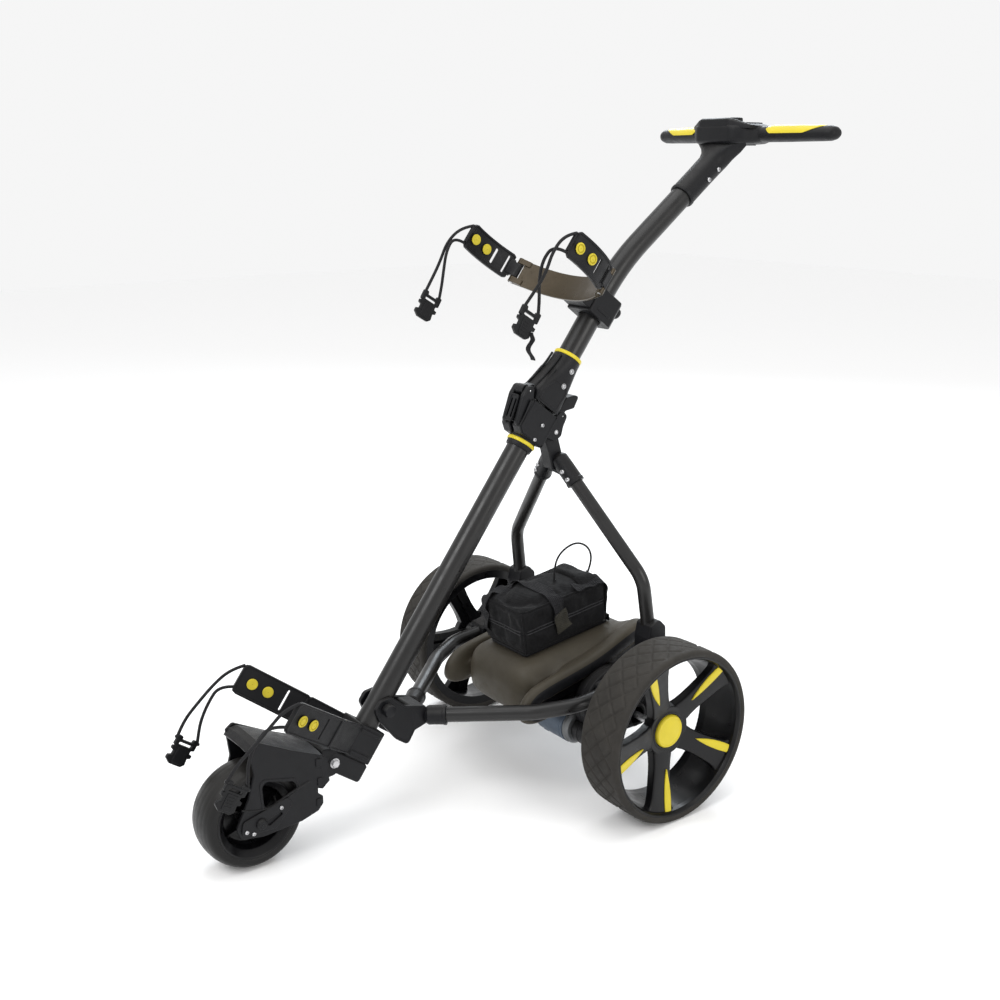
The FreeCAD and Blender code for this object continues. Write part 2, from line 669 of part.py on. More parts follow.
def cradle_arm():
    """A swinging arm: its hinge eye, the curved plate and the stud holes."""
    low, high = UPPER_ARM_LOW, UPPER_ARM_HIGH
    px, pf = ARM_PIN
    plate = arc_plate(ARM_START, ARM_MIDDLE, ARM_TIP, ARM_THICK, low, high)
    eye = rod(V(px, -pf, low + 10.5), V(px, -pf, high - 10.5), 6)
    link = Part.Face(Part.makePolygon([V(a, -b, low + 10.5) for a, b in (
        (px - 2, pf + 5), (px + 4, pf - 4), (126, 110), (118, 114), (px - 2, pf + 5))]))
    link = link.extrude(V(0, 0, high - low - 21))
    arm = fuse(plate, eye, link)
    arm = arm.cut(rod(V(px, -pf, 800), V(px, -pf, 900), 3.05))
    return arm.cut(block(120, 145, -128, -124, low + 9, high - 9))


upper_studs = []
arm = cradle_arm()
for forward, x in ((158, 134.2), (186, 133.0)):
    at = V(x, -forward, (UPPER_ARM_LOW + UPPER_ARM_HIGH) / 2)
    upper_studs.append(stud(at, V(1, 0, 0), ARM_THICK))
    arm = arm.cut(upper_studs[-1])
save("cradle_band", leaned(cradle_band()))
save_pair("cradle_arm", leaned(arm))
save_pair("cradle_studs", Part.makeCompound([leaned(s) for s in upper_studs]))
pin = rod(V(ARM_PIN[0], -ARM_PIN[1], UPPER_ARM_LOW - 1), V(ARM_PIN[0], -ARM_PIN[1], UPPER_ARM_HIGH + 1), 3)
upper_screws += [leaned(pin), mirrored(leaned(pin))]
knob = fuse(rod(V(0, 22, 862), V(0, 36, 862), 3), rod(V(0, 32.4, 862), V(0, 50, 862), 10))
save("clamp_knob", leaned(knob))


# ---------------------------------------------------------------- handle
GRIP_Z = 1069.0


def grip_solid(grow):
    """An oval grip that sweeps rearwards, from the pod to its rounded end."""
    wires = []
    for x, y, half_y, half_z in ((40, 377, 21, 14.5), (80, 382, 18, 13.5), (150, 396, 17, 13),
                                 (192, 404, 16, 12.5), (204, 406, 11, 8)):
        oval = Part.Ellipse(V(0, 0, 0), half_y + grow, half_z + grow).toShape()
        oval.rotate(V(0, 0, 0), V(0, 0, 1), 90)
        oval.rotate(V(0, 0, 0), V(0, 1, 0), 90)
        oval.translate(V(x, y, GRIP_Z))
        wires.append(Part.Wire(oval))
    return Part.makeLoft(wires, True, False)


def handle_body():
    """The T-shaped casting: pod, two grips and the neck that plugs onto the tube."""
    pod = side_plate([(322, 1078), (330, 1090), (392, 1088), (420, 1078), (420, 1060),
                      (400, 1054), (335, 1052)], -58, 58)
    pod = pod.makeFillet(5, [e for e in pod.Edges if abs(e.BoundBox.XLength) < 0.01])
    neck = rod(NECK_START, NECK_START + UPPER_WAY * 128, 22)
    grip = grip_solid(0)
    whole = fuse(pod, neck, grip, mirrored(grip))
    whole = whole.cut(rod(NECK_START - UPPER_WAY, NECK_START + UPPER_WAY * 64, TUBE_R))
    whole = whole.common(block(-300, 300, 200, 450, 900, 1090))
    whole = whole.cut(block(-46, 46, 342, 398, 1080, 1100))
    whole = whole.cut(rod(V(0, 380, 1060), V(0, 380, 1090), 3.5))
    return whole.cut(rod(V(-30, 380, 1070), V(-30, 380, 1090), 7))


def grip_insert():
    """A coloured crescent laid over the upper half of the grip."""
    crescent = grip_solid(1.0).cut(grip_solid(0))
    return crescent.common(side_plate([(300, GRIP_Z - 1), (300, 1100), (460, 1100), (460, GRIP_Z - 1)], 84, 186))


save("handle_body", handle_body())
save_both("grip_inserts", grip_insert())
panel = block(-45.5, 45.5, 342.5, 397.5, 1080, 1089)
panel = panel.cut(rod(V(0, 380, 1070), V(0, 380, 1100), 3.06)).cut(rod(V(-30, 380, 1070), V(-30, 380, 1100), 5.8))
save("console_panel", panel)
save("speed_dial", fuse(rod(V(0, 380, 1070), V(0, 380, 1092), 3), rod(V(0, 380, 1089.5), V(0, 380, 1098), 13)))
save("power_button", fuse(rod(V(-30, 380, 1078.2), V(-30, 380, 1091.5), 5.5)))
screws = [rod(V(side * 22, y, z), V(side * 24.5, y, z), 4) for side in (-1, 1)
          for y, z in ((298, 994), (320, 1011))]
save("upper_screws", *upper_screws, *screws)


# ---------------------------------------------------------------- battery
def tilted(shape):
    """From the bag's own frame, centred on the bag, to the trolley's."""
    shape = shape.copy()
    turn = FreeCAD.Rotation(V(1, 0, 0), BAG_TILT)
    shape.Placement = FreeCAD.Placement(BAG_CENTRE, turn).multiply(shape.Placement)
    return shape


def rounded_block(size, radius):
    x, y, z = size
    solid = Part.makeBox(x, y, z, V(-x / 2, -y / 2, -z / 2))
    return solid.makeFillet(radius, solid.Edges)


bag = rounded_block(BAG, 12).cut(rounded_block([s - 12 for s in BAG], 6))
save("battery_bag", tilted(bag))
save("battery_pack", tilted(rounded_block([s - 14 for s in BAG], 5)))
plate = block(-64, 64, -96, 96, -BAG[2] / 2 - 5.5, -BAG[2] / 2 - 1)
lip = block(-64, 64, 98, 101, -BAG[2] / 2 - 5.5, -BAG[2] / 2 + 8)
plate = fuse(plate, lip, block(-64, 64, 95, 99, -BAG[2] / 2 - 5.5, -BAG[2] / 2 - 1))
save("battery_tray", tilted(plate))
LEAD = [V(14, 46, 330), V(16, 56, 352), V(16, 48, 380), V(14, 20, 394), V(10, -12, 380), V(8, -24, 352),
        V(8, -22, 326)]
save("battery_lead", cord(LEAD, LEAD_R))


# ---------------------------------------------------------------- bungee cords
UPPER_A = [V(131, -88, 922), V(133, -112, 920), V(137, -138, 898), V(138, -152, 866),
           V(134, -172, 838), V(131, -186, 820)]
UPPER_B = [V(131, -108, 895), V(129, -130, 906), V(125, -148, 884), V(125, -154, 852),
           V(129, -156, 824), V(131, -160, 804)]
LOWER_A = [V(88, -556, 276), V(90, -580, 274), V(94, -606, 256), V(94, -634, 232),
           V(91, -660, 210), V(88, -672, 190)]
LOWER_B = [V(88, -578, 246), V(86, -602, 254), V(82, -622, 234), V(82, -636, 208),
           V(86, -640, 184), V(88, -642, 168)]


def buckle(top_a, top_b):
    """A hook buckle hanging from two cord eyes: frame, window and side prongs."""
    along = (top_b - top_a).normalize()
    down = along.cross(V(1, 0, 0))
    if down.z > 0:
        down = down * -1
    middle = (top_a + top_b) * 0.5
    outline = [(-18, -3), (18, -3), (18, 14), (13, 16), (13, 26), (17, 28), (15, 40), (-15, 40),
               (-17, 28), (-13, 26), (-13, 16), (-18, 14)]
    window = [(-11, 4), (11, 4), (11, 11), (-11, 11)]

    def plate(points, half):
        corners = [middle + along * a + down * d - V(half, 0, 0) for a, d in points]
        return Part.Face(Part.makePolygon(corners + corners[:1])).extrude(V(2 * half, 0, 0))

    return plate(outline, 4).cut(plate(window, 6))


for name, first, second in (("upper", UPPER_A, UPPER_B), ("lower", LOWER_A, LOWER_B)):
    strands = [cord(first, CORD_R), cord(second, CORD_R)]
    hook = buckle(first[-1], second[-1])
    if name == "upper":
        save_pair("bungee_upper", Part.makeCompound(strands))
        save_pair("buckle_upper", hook)
    else:
        save_both("bungees_lower", *strands)
        save_both("buckles_lower", hook)
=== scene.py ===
"""Looks of the electric golf trolley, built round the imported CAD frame.

Shapes are drawn in millimetres in the part's own drawing frames (rear axle at Y = 0, the
main tube's leaning frame, the battery bag's frame) and placed in the row frame in metres.
"""

import json
import math

import bmesh
import bpy
from mathutils import Matrix, Vector, noise
from mathutils.bvhtree import BVHTree


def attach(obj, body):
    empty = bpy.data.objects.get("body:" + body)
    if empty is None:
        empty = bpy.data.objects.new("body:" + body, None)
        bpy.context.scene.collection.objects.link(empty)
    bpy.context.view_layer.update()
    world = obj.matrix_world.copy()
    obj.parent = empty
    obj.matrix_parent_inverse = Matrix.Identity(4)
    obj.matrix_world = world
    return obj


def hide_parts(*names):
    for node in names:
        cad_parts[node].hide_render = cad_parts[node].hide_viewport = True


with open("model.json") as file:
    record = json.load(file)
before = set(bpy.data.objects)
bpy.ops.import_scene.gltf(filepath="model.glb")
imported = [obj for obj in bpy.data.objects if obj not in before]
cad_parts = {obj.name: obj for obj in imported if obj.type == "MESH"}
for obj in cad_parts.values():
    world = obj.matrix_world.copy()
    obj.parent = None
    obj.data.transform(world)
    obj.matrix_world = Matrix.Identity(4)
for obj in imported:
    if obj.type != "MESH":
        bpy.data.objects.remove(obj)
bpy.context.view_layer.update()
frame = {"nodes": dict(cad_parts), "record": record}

MM = 0.001
AXLE_Y = 132.9
LEAN = 53.5
UPPER_LEAN = 37.8
BEND_UP = 930.0
NECK_FROM_BEND = 176.2
BAG = (120.0, 190.0, 82.0)
BAG_TILT = 7.5


# ---------------------------------------------------------------- frames
def turned(axis, degrees):
    return Matrix.Rotation(math.radians(degrees), 4, axis)


def shifted(x, y, z):
    return Matrix.Translation((x, y, z))


# Each frame takes millimetres to the row frame's metres.
AXLE = Matrix.Scale(MM, 4) @ shifted(0, AXLE_Y, 0)
TUBE = AXLE @ shifted(0, -438, 110) @ turned("X", LEAN - 90)
NECK = TUBE @ shifted(0, 0, BEND_UP) @ turned("X", UPPER_LEAN - LEAN) @ shifted(0, 0, NECK_FROM_BEND)
TUBE_IN_AXLE = AXLE.inverted() @ TUBE
BATTERY = AXLE @ shifted(0, -35, 282) @ turned("X", BAG_TILT)
# Takes an outline's (u, v, w) to (X = w, Y = u, Z = v): a plate seen from the side.
SIDE = Matrix(((0, 0, 1, 0), (1, 0, 0, 0), (0, 1, 0, 0), (0, 0, 0, 1)))


def row_point(x, y, z):
    return AXLE @ Vector((x, y, z))


# ---------------------------------------------------------------- camera, light, floor
def camera():
    """A view from the front right: 53.4 degrees round from the front, 15.4 degrees up."""
    data = bpy.data.cameras.new("camera")
    data.lens = 44.49
    data.sensor_width = 36
    obj = bpy.data.objects.new("camera", data)
    bpy.context.scene.collection.objects.link(obj)
    obj.location = (1.565, -1.16348, 1.02595)
    obj.rotation_euler = (math.radians(90 - 15.37), 0, math.radians(53.36))
    bpy.context.scene.camera = obj


def area_light(name, place, aim, size, power, tint=(1, 1, 1)):
    data = bpy.data.lights.new(name, "AREA")
    data.shape = "RECTANGLE"
    data.size, data.size_y = size
    data.energy = power
    data.color = tint
    obj = bpy.data.objects.new(name, data)
    obj.location = place
    obj.rotation_euler = (Vector(aim) - Vector(place)).to_track_quat("-Z", "Y").to_euler()
    bpy.context.scene.collection.objects.link(obj)


def studio():
    """A pale floor and soft light from above, the camera's left and behind."""
    world = bpy.data.worlds.new("studio")
    world.use_nodes = True
    world.node_tree.nodes["Background"].inputs["Color"].default_value = (1, 1, 1, 1)
    world.node_tree.nodes["Background"].inputs["Strength"].default_value = 0.92
    bpy.context.scene.world = world
    area_light("key", (0.4, -2.4, 2.6), (0, 0, 0.4), (1.6, 1.2), 38)
    area_light("side", (3.0, 0.6, 1.6), (0, 0, 0.4), (1.4, 1.4), 22, (1, 0.98, 0.95))
    area_light("back", (-1.8, 2.2, 2.4), (0, 0, 0.5), (1.6, 1.0), 34, (0.86, 0.93, 1))
    area_light("top", (0, 0, 3.2), (0, 0, 0), (2.4, 2.4), 30)
    bpy.context.scene.view_settings.view_transform = "Standard"
    mesh = bpy.data.meshes.new("floor")
    reach = 9.0
    mesh.from_pydata([(x * reach, y * reach, 0) for x, y in ((-1, -1), (1, -1), (1, 1), (-1, 1))],
                     [], [(0, 1, 2, 3)])
    floor = bpy.data.objects.new("floor", mesh)
    bpy.context.scene.collection.objects.link(floor)
    made = bpy.data.materials.new("floor")
    made.use_nodes = True
    shader = made.node_tree.nodes["Principled BSDF"]
    shader.inputs["Base Color"].default_value = (0.98, 0.98, 0.98, 1)
    shader.inputs["Roughness"].default_value = 0.9
    mesh.materials.append(made)


# ---------------------------------------------------------------- materials
BAND = (0.3, 0.7)
# Pale brownish colour that upward faces are mixed towards: a painted highlight on the tops.
TOP_HIGHLIGHT = (0.2, 0.185, 0.16)


def noise_node(nodes, link, place, scale, detail):
    """The value of a noise, scale features per metre."""
    node = nodes.new("ShaderNodeTexNoise")
    node.inputs["Scale"].default_value = scale
    node.inputs["Detail"].default_value = detail
    link(place, node.inputs["Vector"])
    return node.outputs["Fac"]


def mapped(nodes, link, value, source, target):
    """A value taken from one range to another."""
    node = nodes.new("ShaderNodeMapRange")
    for key, number in zip(("From Min", "From Max", "To Min", "To Max"), (*source, *target)):
        node.inputs[key].default_value = number
    link(value, node.inputs["Value"])
    return node.outputs["Result"]


def raised(nodes, link, height, strength, distance):
    """A bump that goes to the shader's normal."""
    node = nodes.new("ShaderNodeBump")
    node.inputs["Strength"].default_value = strength
    node.inputs["Distance"].default_value = distance
    link(height, node.inputs["Height"])
    link(node.outputs["Normal"], nodes["Principled BSDF"].inputs["Normal"])
    return node


def surface(name, color, rough, metallic=0.0, grain=(900, 0.15), mottle=(14, 0.15), spread=0.08,
            coat=0.0, sheen=0.0, specular=0.21, top_highlight=0.0):
    """A procedural finish: fine grain in the bump, slow changes of colour and roughness.

    grain is (features per metre, bump strength), mottle is (features per metre, amount),
    spread is how far the roughness wanders, and the last is how far upward faces go paler: a painted
    highlight.
    """
    made = bpy.data.materials.new(name)
    made.use_nodes = True
    tree = made.node_tree
    nodes, link = tree.nodes, tree.links.new
    shader = nodes["Principled BSDF"]
    place = nodes.new("ShaderNodeTexCoord").outputs["Object"]

    low, high = 1 - mottle[1], 1 + mottle[1]
    slow = noise_node(nodes, link, place, mottle[0], 6)
    slow.node.inputs["Roughness"].default_value = 0.62
    ramp = nodes.new("ShaderNodeValToRGB")
    first, last = ramp.color_ramp.elements
    first.position, last.position = BAND
    first.color = (*(c * low for c in color), 1)
    last.color = (*(min(1, c * high) for c in color), 1)
    link(slow, ramp.inputs["Fac"])
    paint = ramp.outputs["Color"]
    # Upward faces go paler towards that colour: a painted highlight.
    if top_highlight:
        split = nodes.new("ShaderNodeSeparateXYZ")
        link(nodes.new("ShaderNodeNewGeometry").outputs["Normal"], split.inputs[0])
        up = mapped(nodes, link, split.outputs["Z"], (0.2, 1), (0, top_highlight))
        mix = nodes.new("ShaderNodeMix")
        mix.data_type = "RGBA"
        link(up, mix.inputs["Factor"])
        link(paint, mix.inputs["A"])
        mix.inputs["B"].default_value = (*TOP_HIGHLIGHT, 1)
        paint = mix.outputs["Result"]
    link(paint, shader.inputs["Base Color"])

    smear = noise_node(nodes, link, place, mottle[0] * 5.3, 8)
    wander = mapped(nodes, link, smear, BAND, (max(0.03, rough - spread), min(1, rough + spread)))
    link(wander, shader.inputs["Roughness"])
    raised(nodes, link, noise_node(nodes, link, place, grain[0], 3), grain[1], 0.0006)

    for key, value in (("Metallic", metallic), ("Specular IOR Level", specular), ("Coat Weight", coat),
                       ("Coat Roughness", 0.12), ("Sheen Weight", sheen), ("Sheen Roughness", 0.4)):
        shader.inputs[key].default_value = value
    return made


def woven(name, color, pitch, depth=0.5, sheen=0.35, contrast=0.35):
    """Cloth with crossing threads, pitch millimetres apart."""
    made = surface(name, color, 0.82, grain=(1400, 0.1), mottle=(30, 0.18), sheen=sheen)
    tree = made.node_tree
    nodes, link = tree.nodes, tree.links.new
    shader = nodes["Principled BSDF"]
    place = nodes.new("ShaderNodeTexCoord").outputs["Object"]
    heights = []
    for direction in ("X", "Y", "Z"):
        wave = nodes.new("ShaderNodeTexWave")
        wave.bands_direction = direction
        wave.inputs["Scale"].default_value = 2 * math.pi / (20 * pitch * MM) * 0.5
        wave.inputs["Distortion"].default_value = 0.6
        wave.inputs["Detail"].default_value = 1
        link(place, wave.inputs["Vector"])
        heights.append(wave.outputs["Fac"])
    total = heights[0]
    for other in heights[1:]:
        add = nodes.new("ShaderNodeMath")
        add.operation = "ADD"
        link(total, add.inputs[0])
        link(other, add.inputs[1])
        total = add.outputs[0]
    grain = nodes["Bump"].outputs["Normal"]
    link(grain, raised(nodes, link, total, depth, pitch * MM * 0.35).inputs["Normal"])
    shade = mapped(nodes, link, total, (0, 3), (1 - contrast, 1 + contrast))
    tone = nodes.new("ShaderNodeVectorMath")
    tone.operation = "SCALE"
    source = shader.inputs["Base Color"].links[0].from_socket
    link(source, tone.inputs[0])
    link(shade, tone.inputs["Scale"])
    link(tone.outputs[0], shader.inputs["Base Color"])
    return made


LOOK = {
    "frame_paint": surface("frame_paint", (0.0075, 0.0072, 0.0072), 0.34, grain=(1500, 0.05),
                           mottle=(9, 0.2), coat=0.06, specular=0.36),
    "black_plastic": surface("black_plastic", (0.0048, 0.005, 0.0058), 0.42, grain=(2200, 0.22),
                             mottle=(16, 0.2)),
    "hood_plastic": surface("hood_plastic", (0.037, 0.031, 0.0205), 0.5, grain=(1700, 0.3),
                            mottle=(11, 0.2), specular=0.25, top_highlight=0.06),
    "yellow_trim": surface("yellow_trim", (0.58, 0.47, 0.025), 0.36, grain=(1300, 0.05),
                           mottle=(18, 0.07), coat=0.1),
    "tyre_rubber": surface("tyre_rubber", (0.0205, 0.0185, 0.016), 0.72, grain=(1300, 0.4),
                           mottle=(20, 0.28), specular=0.25, top_highlight=0.05),
    "rim_plastic": surface("rim_plastic", (0.0028, 0.0028, 0.0034), 0.34, grain=(1000, 0.04),
                           mottle=(12, 0.15), coat=0.08),
    "steel": surface("steel", (0.5, 0.5, 0.51), 0.32, metallic=1.0, grain=(2500, 0.06),
                     mottle=(60, 0.12)),
    "motor_paint": surface("motor_paint", (0.085, 0.11, 0.145), 0.4, metallic=0.3,
                           grain=(1600, 0.08), mottle=(20, 0.12)),
    "gear_steel": surface("gear_steel", (0.42, 0.42, 0.42), 0.35, metallic=1.0,
                          grain=(1800, 0.08), mottle=(50, 0.15)),
    "cord_rubber": surface("cord_rubber", (0.008, 0.008, 0.009), 0.6, grain=(2600, 0.35),
                           mottle=(60, 0.25)),
    "battery_case": surface("battery_case", (0.02, 0.02, 0.024), 0.45, grain=(1900, 0.2)),
    "support_band": surface("support_band", (0.046, 0.034, 0.019), 0.33, metallic=0.5,
                            grain=(1300, 0.08), mottle=(14, 0.18), specular=0.5),
    "soft_rubber": surface("soft_rubber", (0.012, 0.012, 0.012), 0.66, grain=(1700, 0.25)),
    "bag_fabric": woven("bag_fabric", (0.0034, 0.0034, 0.004), 1.1, sheen=0.03),
    "webbing": woven("webbing", (0.0062, 0.0062, 0.0075), 1.9, depth=0.8, sheen=0.03),
    "front_rubber": surface("front_rubber", (0.008, 0.0078, 0.0078), 0.4, grain=(1500, 0.15),
                            mottle=(16, 0.25), top_highlight=0.05),
    "strap_end": woven("strap_end", (0.026, 0.024, 0.018), 1.6, depth=0.7, sheen=0.08),
    "zip_cord": surface("zip_cord", (0.03, 0.03, 0.032), 0.5, grain=(2200, 0.3)),
    "moulding": surface("moulding", (0.0048, 0.005, 0.0062), 0.42, grain=(2400, 0.3),
                        mottle=(13, 0.22), top_highlight=0.05),
    # Near-black sheet colour: painted shade inside the knuckle cover's slots.
    "slot_shade": surface("slot_shade", (0.004, 0.004, 0.004), 0.9),
    "stud_rubber": surface("stud_rubber", (0.5, 0.41, 0.03), 0.45, grain=(1800, 0.12),
                           mottle=(40, 0.14)),
    "glass": surface("glass", (0.006, 0.007, 0.008), 0.07, grain=(300, 0.01), mottle=(6, 0.1),
                     coat=0.6),
    "cast_metal": surface("cast_metal", (0.16, 0.165, 0.17), 0.46, metallic=0.6, grain=(1100, 0.3),
                          mottle=(30, 0.15)),
}


# ---------------------------------------------------------------- mesh tools
def smooth_step(share):
    share = max(0.0, min(1.0, share))
    return share * share * (3 - 2 * share)


class Shape:
    """Vertices and faces gathered in a drawing frame's millimetres."""

    def __init__(self, verts=(), faces=()):
        self.verts = [Vector(v) for v in verts]
        self.faces = [list(f) for f in faces]

    def add(self, other, place=None):
        """Adds another shape, moved by a matrix."""
        first = len(self.verts)
        moved = other.verts if place is None else [place @ v for v in other.verts]
        self.verts += moved
        flip = place is not None and place.determinant() < 0
        for face in other.faces:
            ids = [first + i for i in face]
            self.faces.append(ids[::-1] if flip else ids)
        return self


MIRROR = Matrix.Scale(-1, 4, (1, 0, 0))
WELD = 2e-6
SHARP = 32


def both(shape):
    """The shape and its mirror image across X = 0."""
    return Shape().add(shape).add(shape, MIRROR)


def welded(name, shape, place):
    """A mesh in the row frame with shared points joined and every face turned outwards."""
    mesh = bpy.data.meshes.new(name)
    mesh.from_pydata([place @ v for v in shape.verts], [], shape.faces)
    work = bmesh.new()
    work.from_mesh(mesh)
    bmesh.ops.remove_doubles(work, verts=work.verts, dist=WELD)
    bmesh.ops.recalc_face_normals(work, faces=work.faces)
    work.to_mesh(mesh)
    work.free()
    return mesh


def made(name, shape, place, body, slot, replaces=(), look=None, sharp=SHARP, weighted=True, subdivide=0):
    """Makes one piece from a shape, in the row frame, with its finish and its body."""
    mesh = welded(name, shape, place)
    mesh.shade_smooth()
    mesh.set_sharp_from_angle(angle=math.radians(sharp))
    mesh.materials.append(LOOK[look or slot])
    obj = bpy.data.objects.new(name, mesh)
    bpy.context.scene.collection.objects.link(obj)
    if subdivide:
        modifier = obj.modifiers.new("smooth", "SUBSURF")
        modifier.levels = modifier.render_levels = subdivide
    if weighted:
        modifier = obj.modifiers.new("weighted", "WEIGHTED_NORMAL")
        modifier.keep_sharp = True
    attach(obj, body)
    if replaces:
        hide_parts(*replaces)
    return obj


def moulded(name, shape, place, body, replaces=()):
    """A piece of grained black plastic."""
    return made(name, shape, place, body, "black_plastic", replaces, look="moulding")


def sided(name, shape, place, body, slot, replaces=(), **more):
    """The +X piece and its mirror image, NAME_right and NAME_left."""
    right = made(name + "_right", shape, place, body, slot, replaces, **more)
    left = made(name + "_left", Shape().add(shape, MIRROR), place, body, slot, replaces, **more)
    return right, left


def rounded(points, radius, steps=4):
    """A closed outline whose corners are arcs; a point may carry its own radius."""
    outline = []
    count = len(points)
    for i, point in enumerate(points):
        own = point[2] if len(point) > 2 else radius
        corner = Vector(point[:2])
        before = Vector(points[i - 1][:2]) - corner
        after = Vector(points[(i + 1) % count][:2]) - corner
        half = before.angle(after) / 2
        if own <= 0 or half > math.radians(88.5):
            outline.append(tuple(corner))
            continue
        reach = min(own / math.tan(half), before.length * 0.49, after.length * 0.49)
        arc = reach * math.tan(half)
        centre = corner + (before.normalized() + after.normalized()).normalized() * (arc / math.sin(half))
        first = corner + before.normalized() * reach - centre
        last = corner + after.normalized() * reach - centre
        sweep = first.angle_signed(last)
        for k in range(steps + 1):
            turn = Matrix.Rotation(-sweep * k / steps, 2)
            outline.append(tuple(centre + turn @ first))
    return outline


def oblong(u0, u1, v0, v1, radius, steps):
    """A rectangle with rounded corners."""
    return rounded([(u0, v0), (u1, v0), (u1, v1), (u0, v1)], radius, steps)


def squircle(power, steps):
    """A unit circle (power 2) that turns into a square as the power grows."""
    outline = []
    for k in range(steps):
        c, s = math.cos(2 * math.pi * k / steps), math.sin(2 * math.pi * k / steps)
        r = (abs(c) ** power + abs(s) ** power) ** (-1 / power)
        outline.append((r * c, r * s))
    return outline


def circle(u, v, radius, steps=20):
    return [(u + radius * math.cos(2 * math.pi * k / steps), v + radius * math.sin(2 * math.pi * k / steps))
            for k in range(steps)]


def slot_outline(u0, v0, u1, v1, radius, steps=6):
    """A long hole with round ends between two centres."""
    way = math.atan2(v1 - v0, u1 - u0)
    outline = []
    for u, v, start in ((u0, v0, way + math.pi / 2), (u1, v1, way - math.pi / 2)):
        for k in range(steps + 1):
            a = start + math.pi * k / steps
            outline.append((u + radius * math.cos(a), v + radius * math.sin(a)))
    return outline


def plate(outlines, low, high, bevel=0.9, steps=2):
    """A flat plate from w = low to high with rounded edges; outlines after the first are holes."""
    curve = bpy.data.curves.new("plate", "CURVE")
    curve.dimensions = "2D"
    curve.fill_mode = "BOTH"
    for outline in outlines:
        spline = curve.splines.new("POLY")
        spline.points.add(len(outline) - 1)
        for point, (u, v) in zip(spline.points, (o[:2] for o in outline)):
            point.co = (u, v, 0, 1)
        spline.use_cyclic_u = True
    curve.offset = -bevel
    curve.bevel_depth = bevel
    curve.bevel_resolution = steps
    curve.extrude = max(0.001, (high - low) / 2 - bevel)
    holder = bpy.data.objects.new("plate", curve)
    mesh = bpy.data.meshes.new_from_object(holder)
    middle = shifted(0, 0, (low + high) / 2)
    shape = Shape([middle @ v.co for v in mesh.vertices], [p.vertices for p in mesh.polygons])
    bpy.data.objects.remove(holder)
    bpy.data.curves.remove(curve)
    bpy.data.meshes.remove(mesh)
    return shape


def side_plate(points, x0, x1, radius=3.0, bevel=0.9, holes=(), steps=4):
    """A plate whose outline is in the Y-Z plane, from x0 to x1."""
    least = bevel * 1.3
    points = [(*p[:2], max(least, p[2] if len(p) > 2 else radius)) for p in points]
    outlines = [rounded(points, radius, steps)] + list(holes)
    return Shape().add(plate(outlines, x0, x1, bevel), SIDE)


def lathe(profile, steps=72, closed=False):
    """A ring turned about X from (x, radius) points; an open profile ends on the axis or a rim."""
    verts, faces = [], []
    count = len(profile)
    for k in range(steps):
        a = 2 * math.pi * k / steps
        verts += [(x, -r * math.sin(a), r * math.cos(a)) for x, r in profile]
    last = count if closed else count - 1
    for k in range(steps):
        here, there = k * count, (k + 1) % steps * count
        for i in range(last):
            j = (i + 1) % count
            faces.append((here + i, here + j, there + j, there + i))
    return Shape(verts, faces)


def aimed(point, direction):
    """A matrix that puts local X along a direction at a point."""
    return shifted(*point) @ Vector(direction).to_track_quat("X", "Z").to_matrix().to_4x4()


def loft(rings, close=True, caps=True):
    """A skin over rings of points with the same count."""
    count = len(rings[0])
    verts = [p for ring in rings for p in ring]
    faces = []
    for k in range(len(rings) - 1):
        for i in range(count if close else count - 1):
            j = (i + 1) % count
            faces.append((k * count + i, k * count + j, (k + 1) * count + j, (k + 1) * count + i))
    if caps:
        faces.append(list(range(count))[::-1])
        faces.append([(len(rings) - 1) * count + i for i in range(count)])
    return Shape(verts, faces)


def hexagon(x, flat, steps):
    """A hexagonal ring round the X axis, flat being half its width across flats."""
    ring = []
    for k in range(steps):
        a = 2 * math.pi * k / steps
        r = flat / math.cos((a % (math.pi / 3)) - math.pi / 6)
        ring.append((x, r * math.sin(a), r * math.cos(a)))
    return ring


def lobed(radius, lobes, depth):
    """(cosine, sine, radius) round a knob whose edge is scooped between its lobes."""
    ring = []
    for k in range(60):
        a = 2 * math.pi * k / 60
        ring.append((math.cos(a), math.sin(a), radius * (1 - depth * (0.5 + 0.5 * math.cos(lobes * a)))))
    return ring


def screw_head(radius=4.0, height=2.4, socket=1.9):
    """A button head with a hexagonal socket, its face towards +X."""
    steps = 24
    rings = []
    for r, x in ((1, -0.3), (1, 0.35), (0.93, 0.68), (0.78, 0.9), (0.62, 1.0)):
        rings.append([(x * height, r * radius * math.sin(2 * math.pi * k / steps),
                       r * radius * math.cos(2 * math.pi * k / steps)) for k in range(steps)])
    rings += [hexagon(x * height, socket, steps) for x in (1.0, 0.35)]
    return loft(rings)


def bolt_head(radius=6.0, height=5.0):
    """A hexagon head with a washer under it, its face towards +X."""
    washer = 1.2
    shape = lathe([(x, radius * r) for x, r in ((0, 0.4), (0, 1.25), (washer, 1.25), (washer, 0.4))], 24,
                  True)
    rings = [hexagon(x, radius * r * 0.9, 24) for x, r in ((washer, 1), (height * 0.85, 1), (height, 0.86))]
    return shape.add(loft(rings))


def nurbs_points(route):
    """Points along the smooth line that a route's points steer, in the route's own units."""
    curve = bpy.data.curves.new("line", "CURVE")
    curve.dimensions = "3D"
    spline = curve.splines.new("NURBS")
    spline.points.add(len(route) - 1)
    for point, at in zip(spline.points, route):
        point.co = (*at, 1)
    spline.order_u = 3
    spline.use_endpoint_u = True
    holder = bpy.data.objects.new("line", curve)
    mesh = bpy.data.meshes.new_from_object(holder)
    points = [v.co.copy() for v in mesh.vertices]
    bpy.data.objects.remove(holder)
    bpy.data.curves.remove(curve)
    bpy.data.meshes.remove(mesh)
    return points


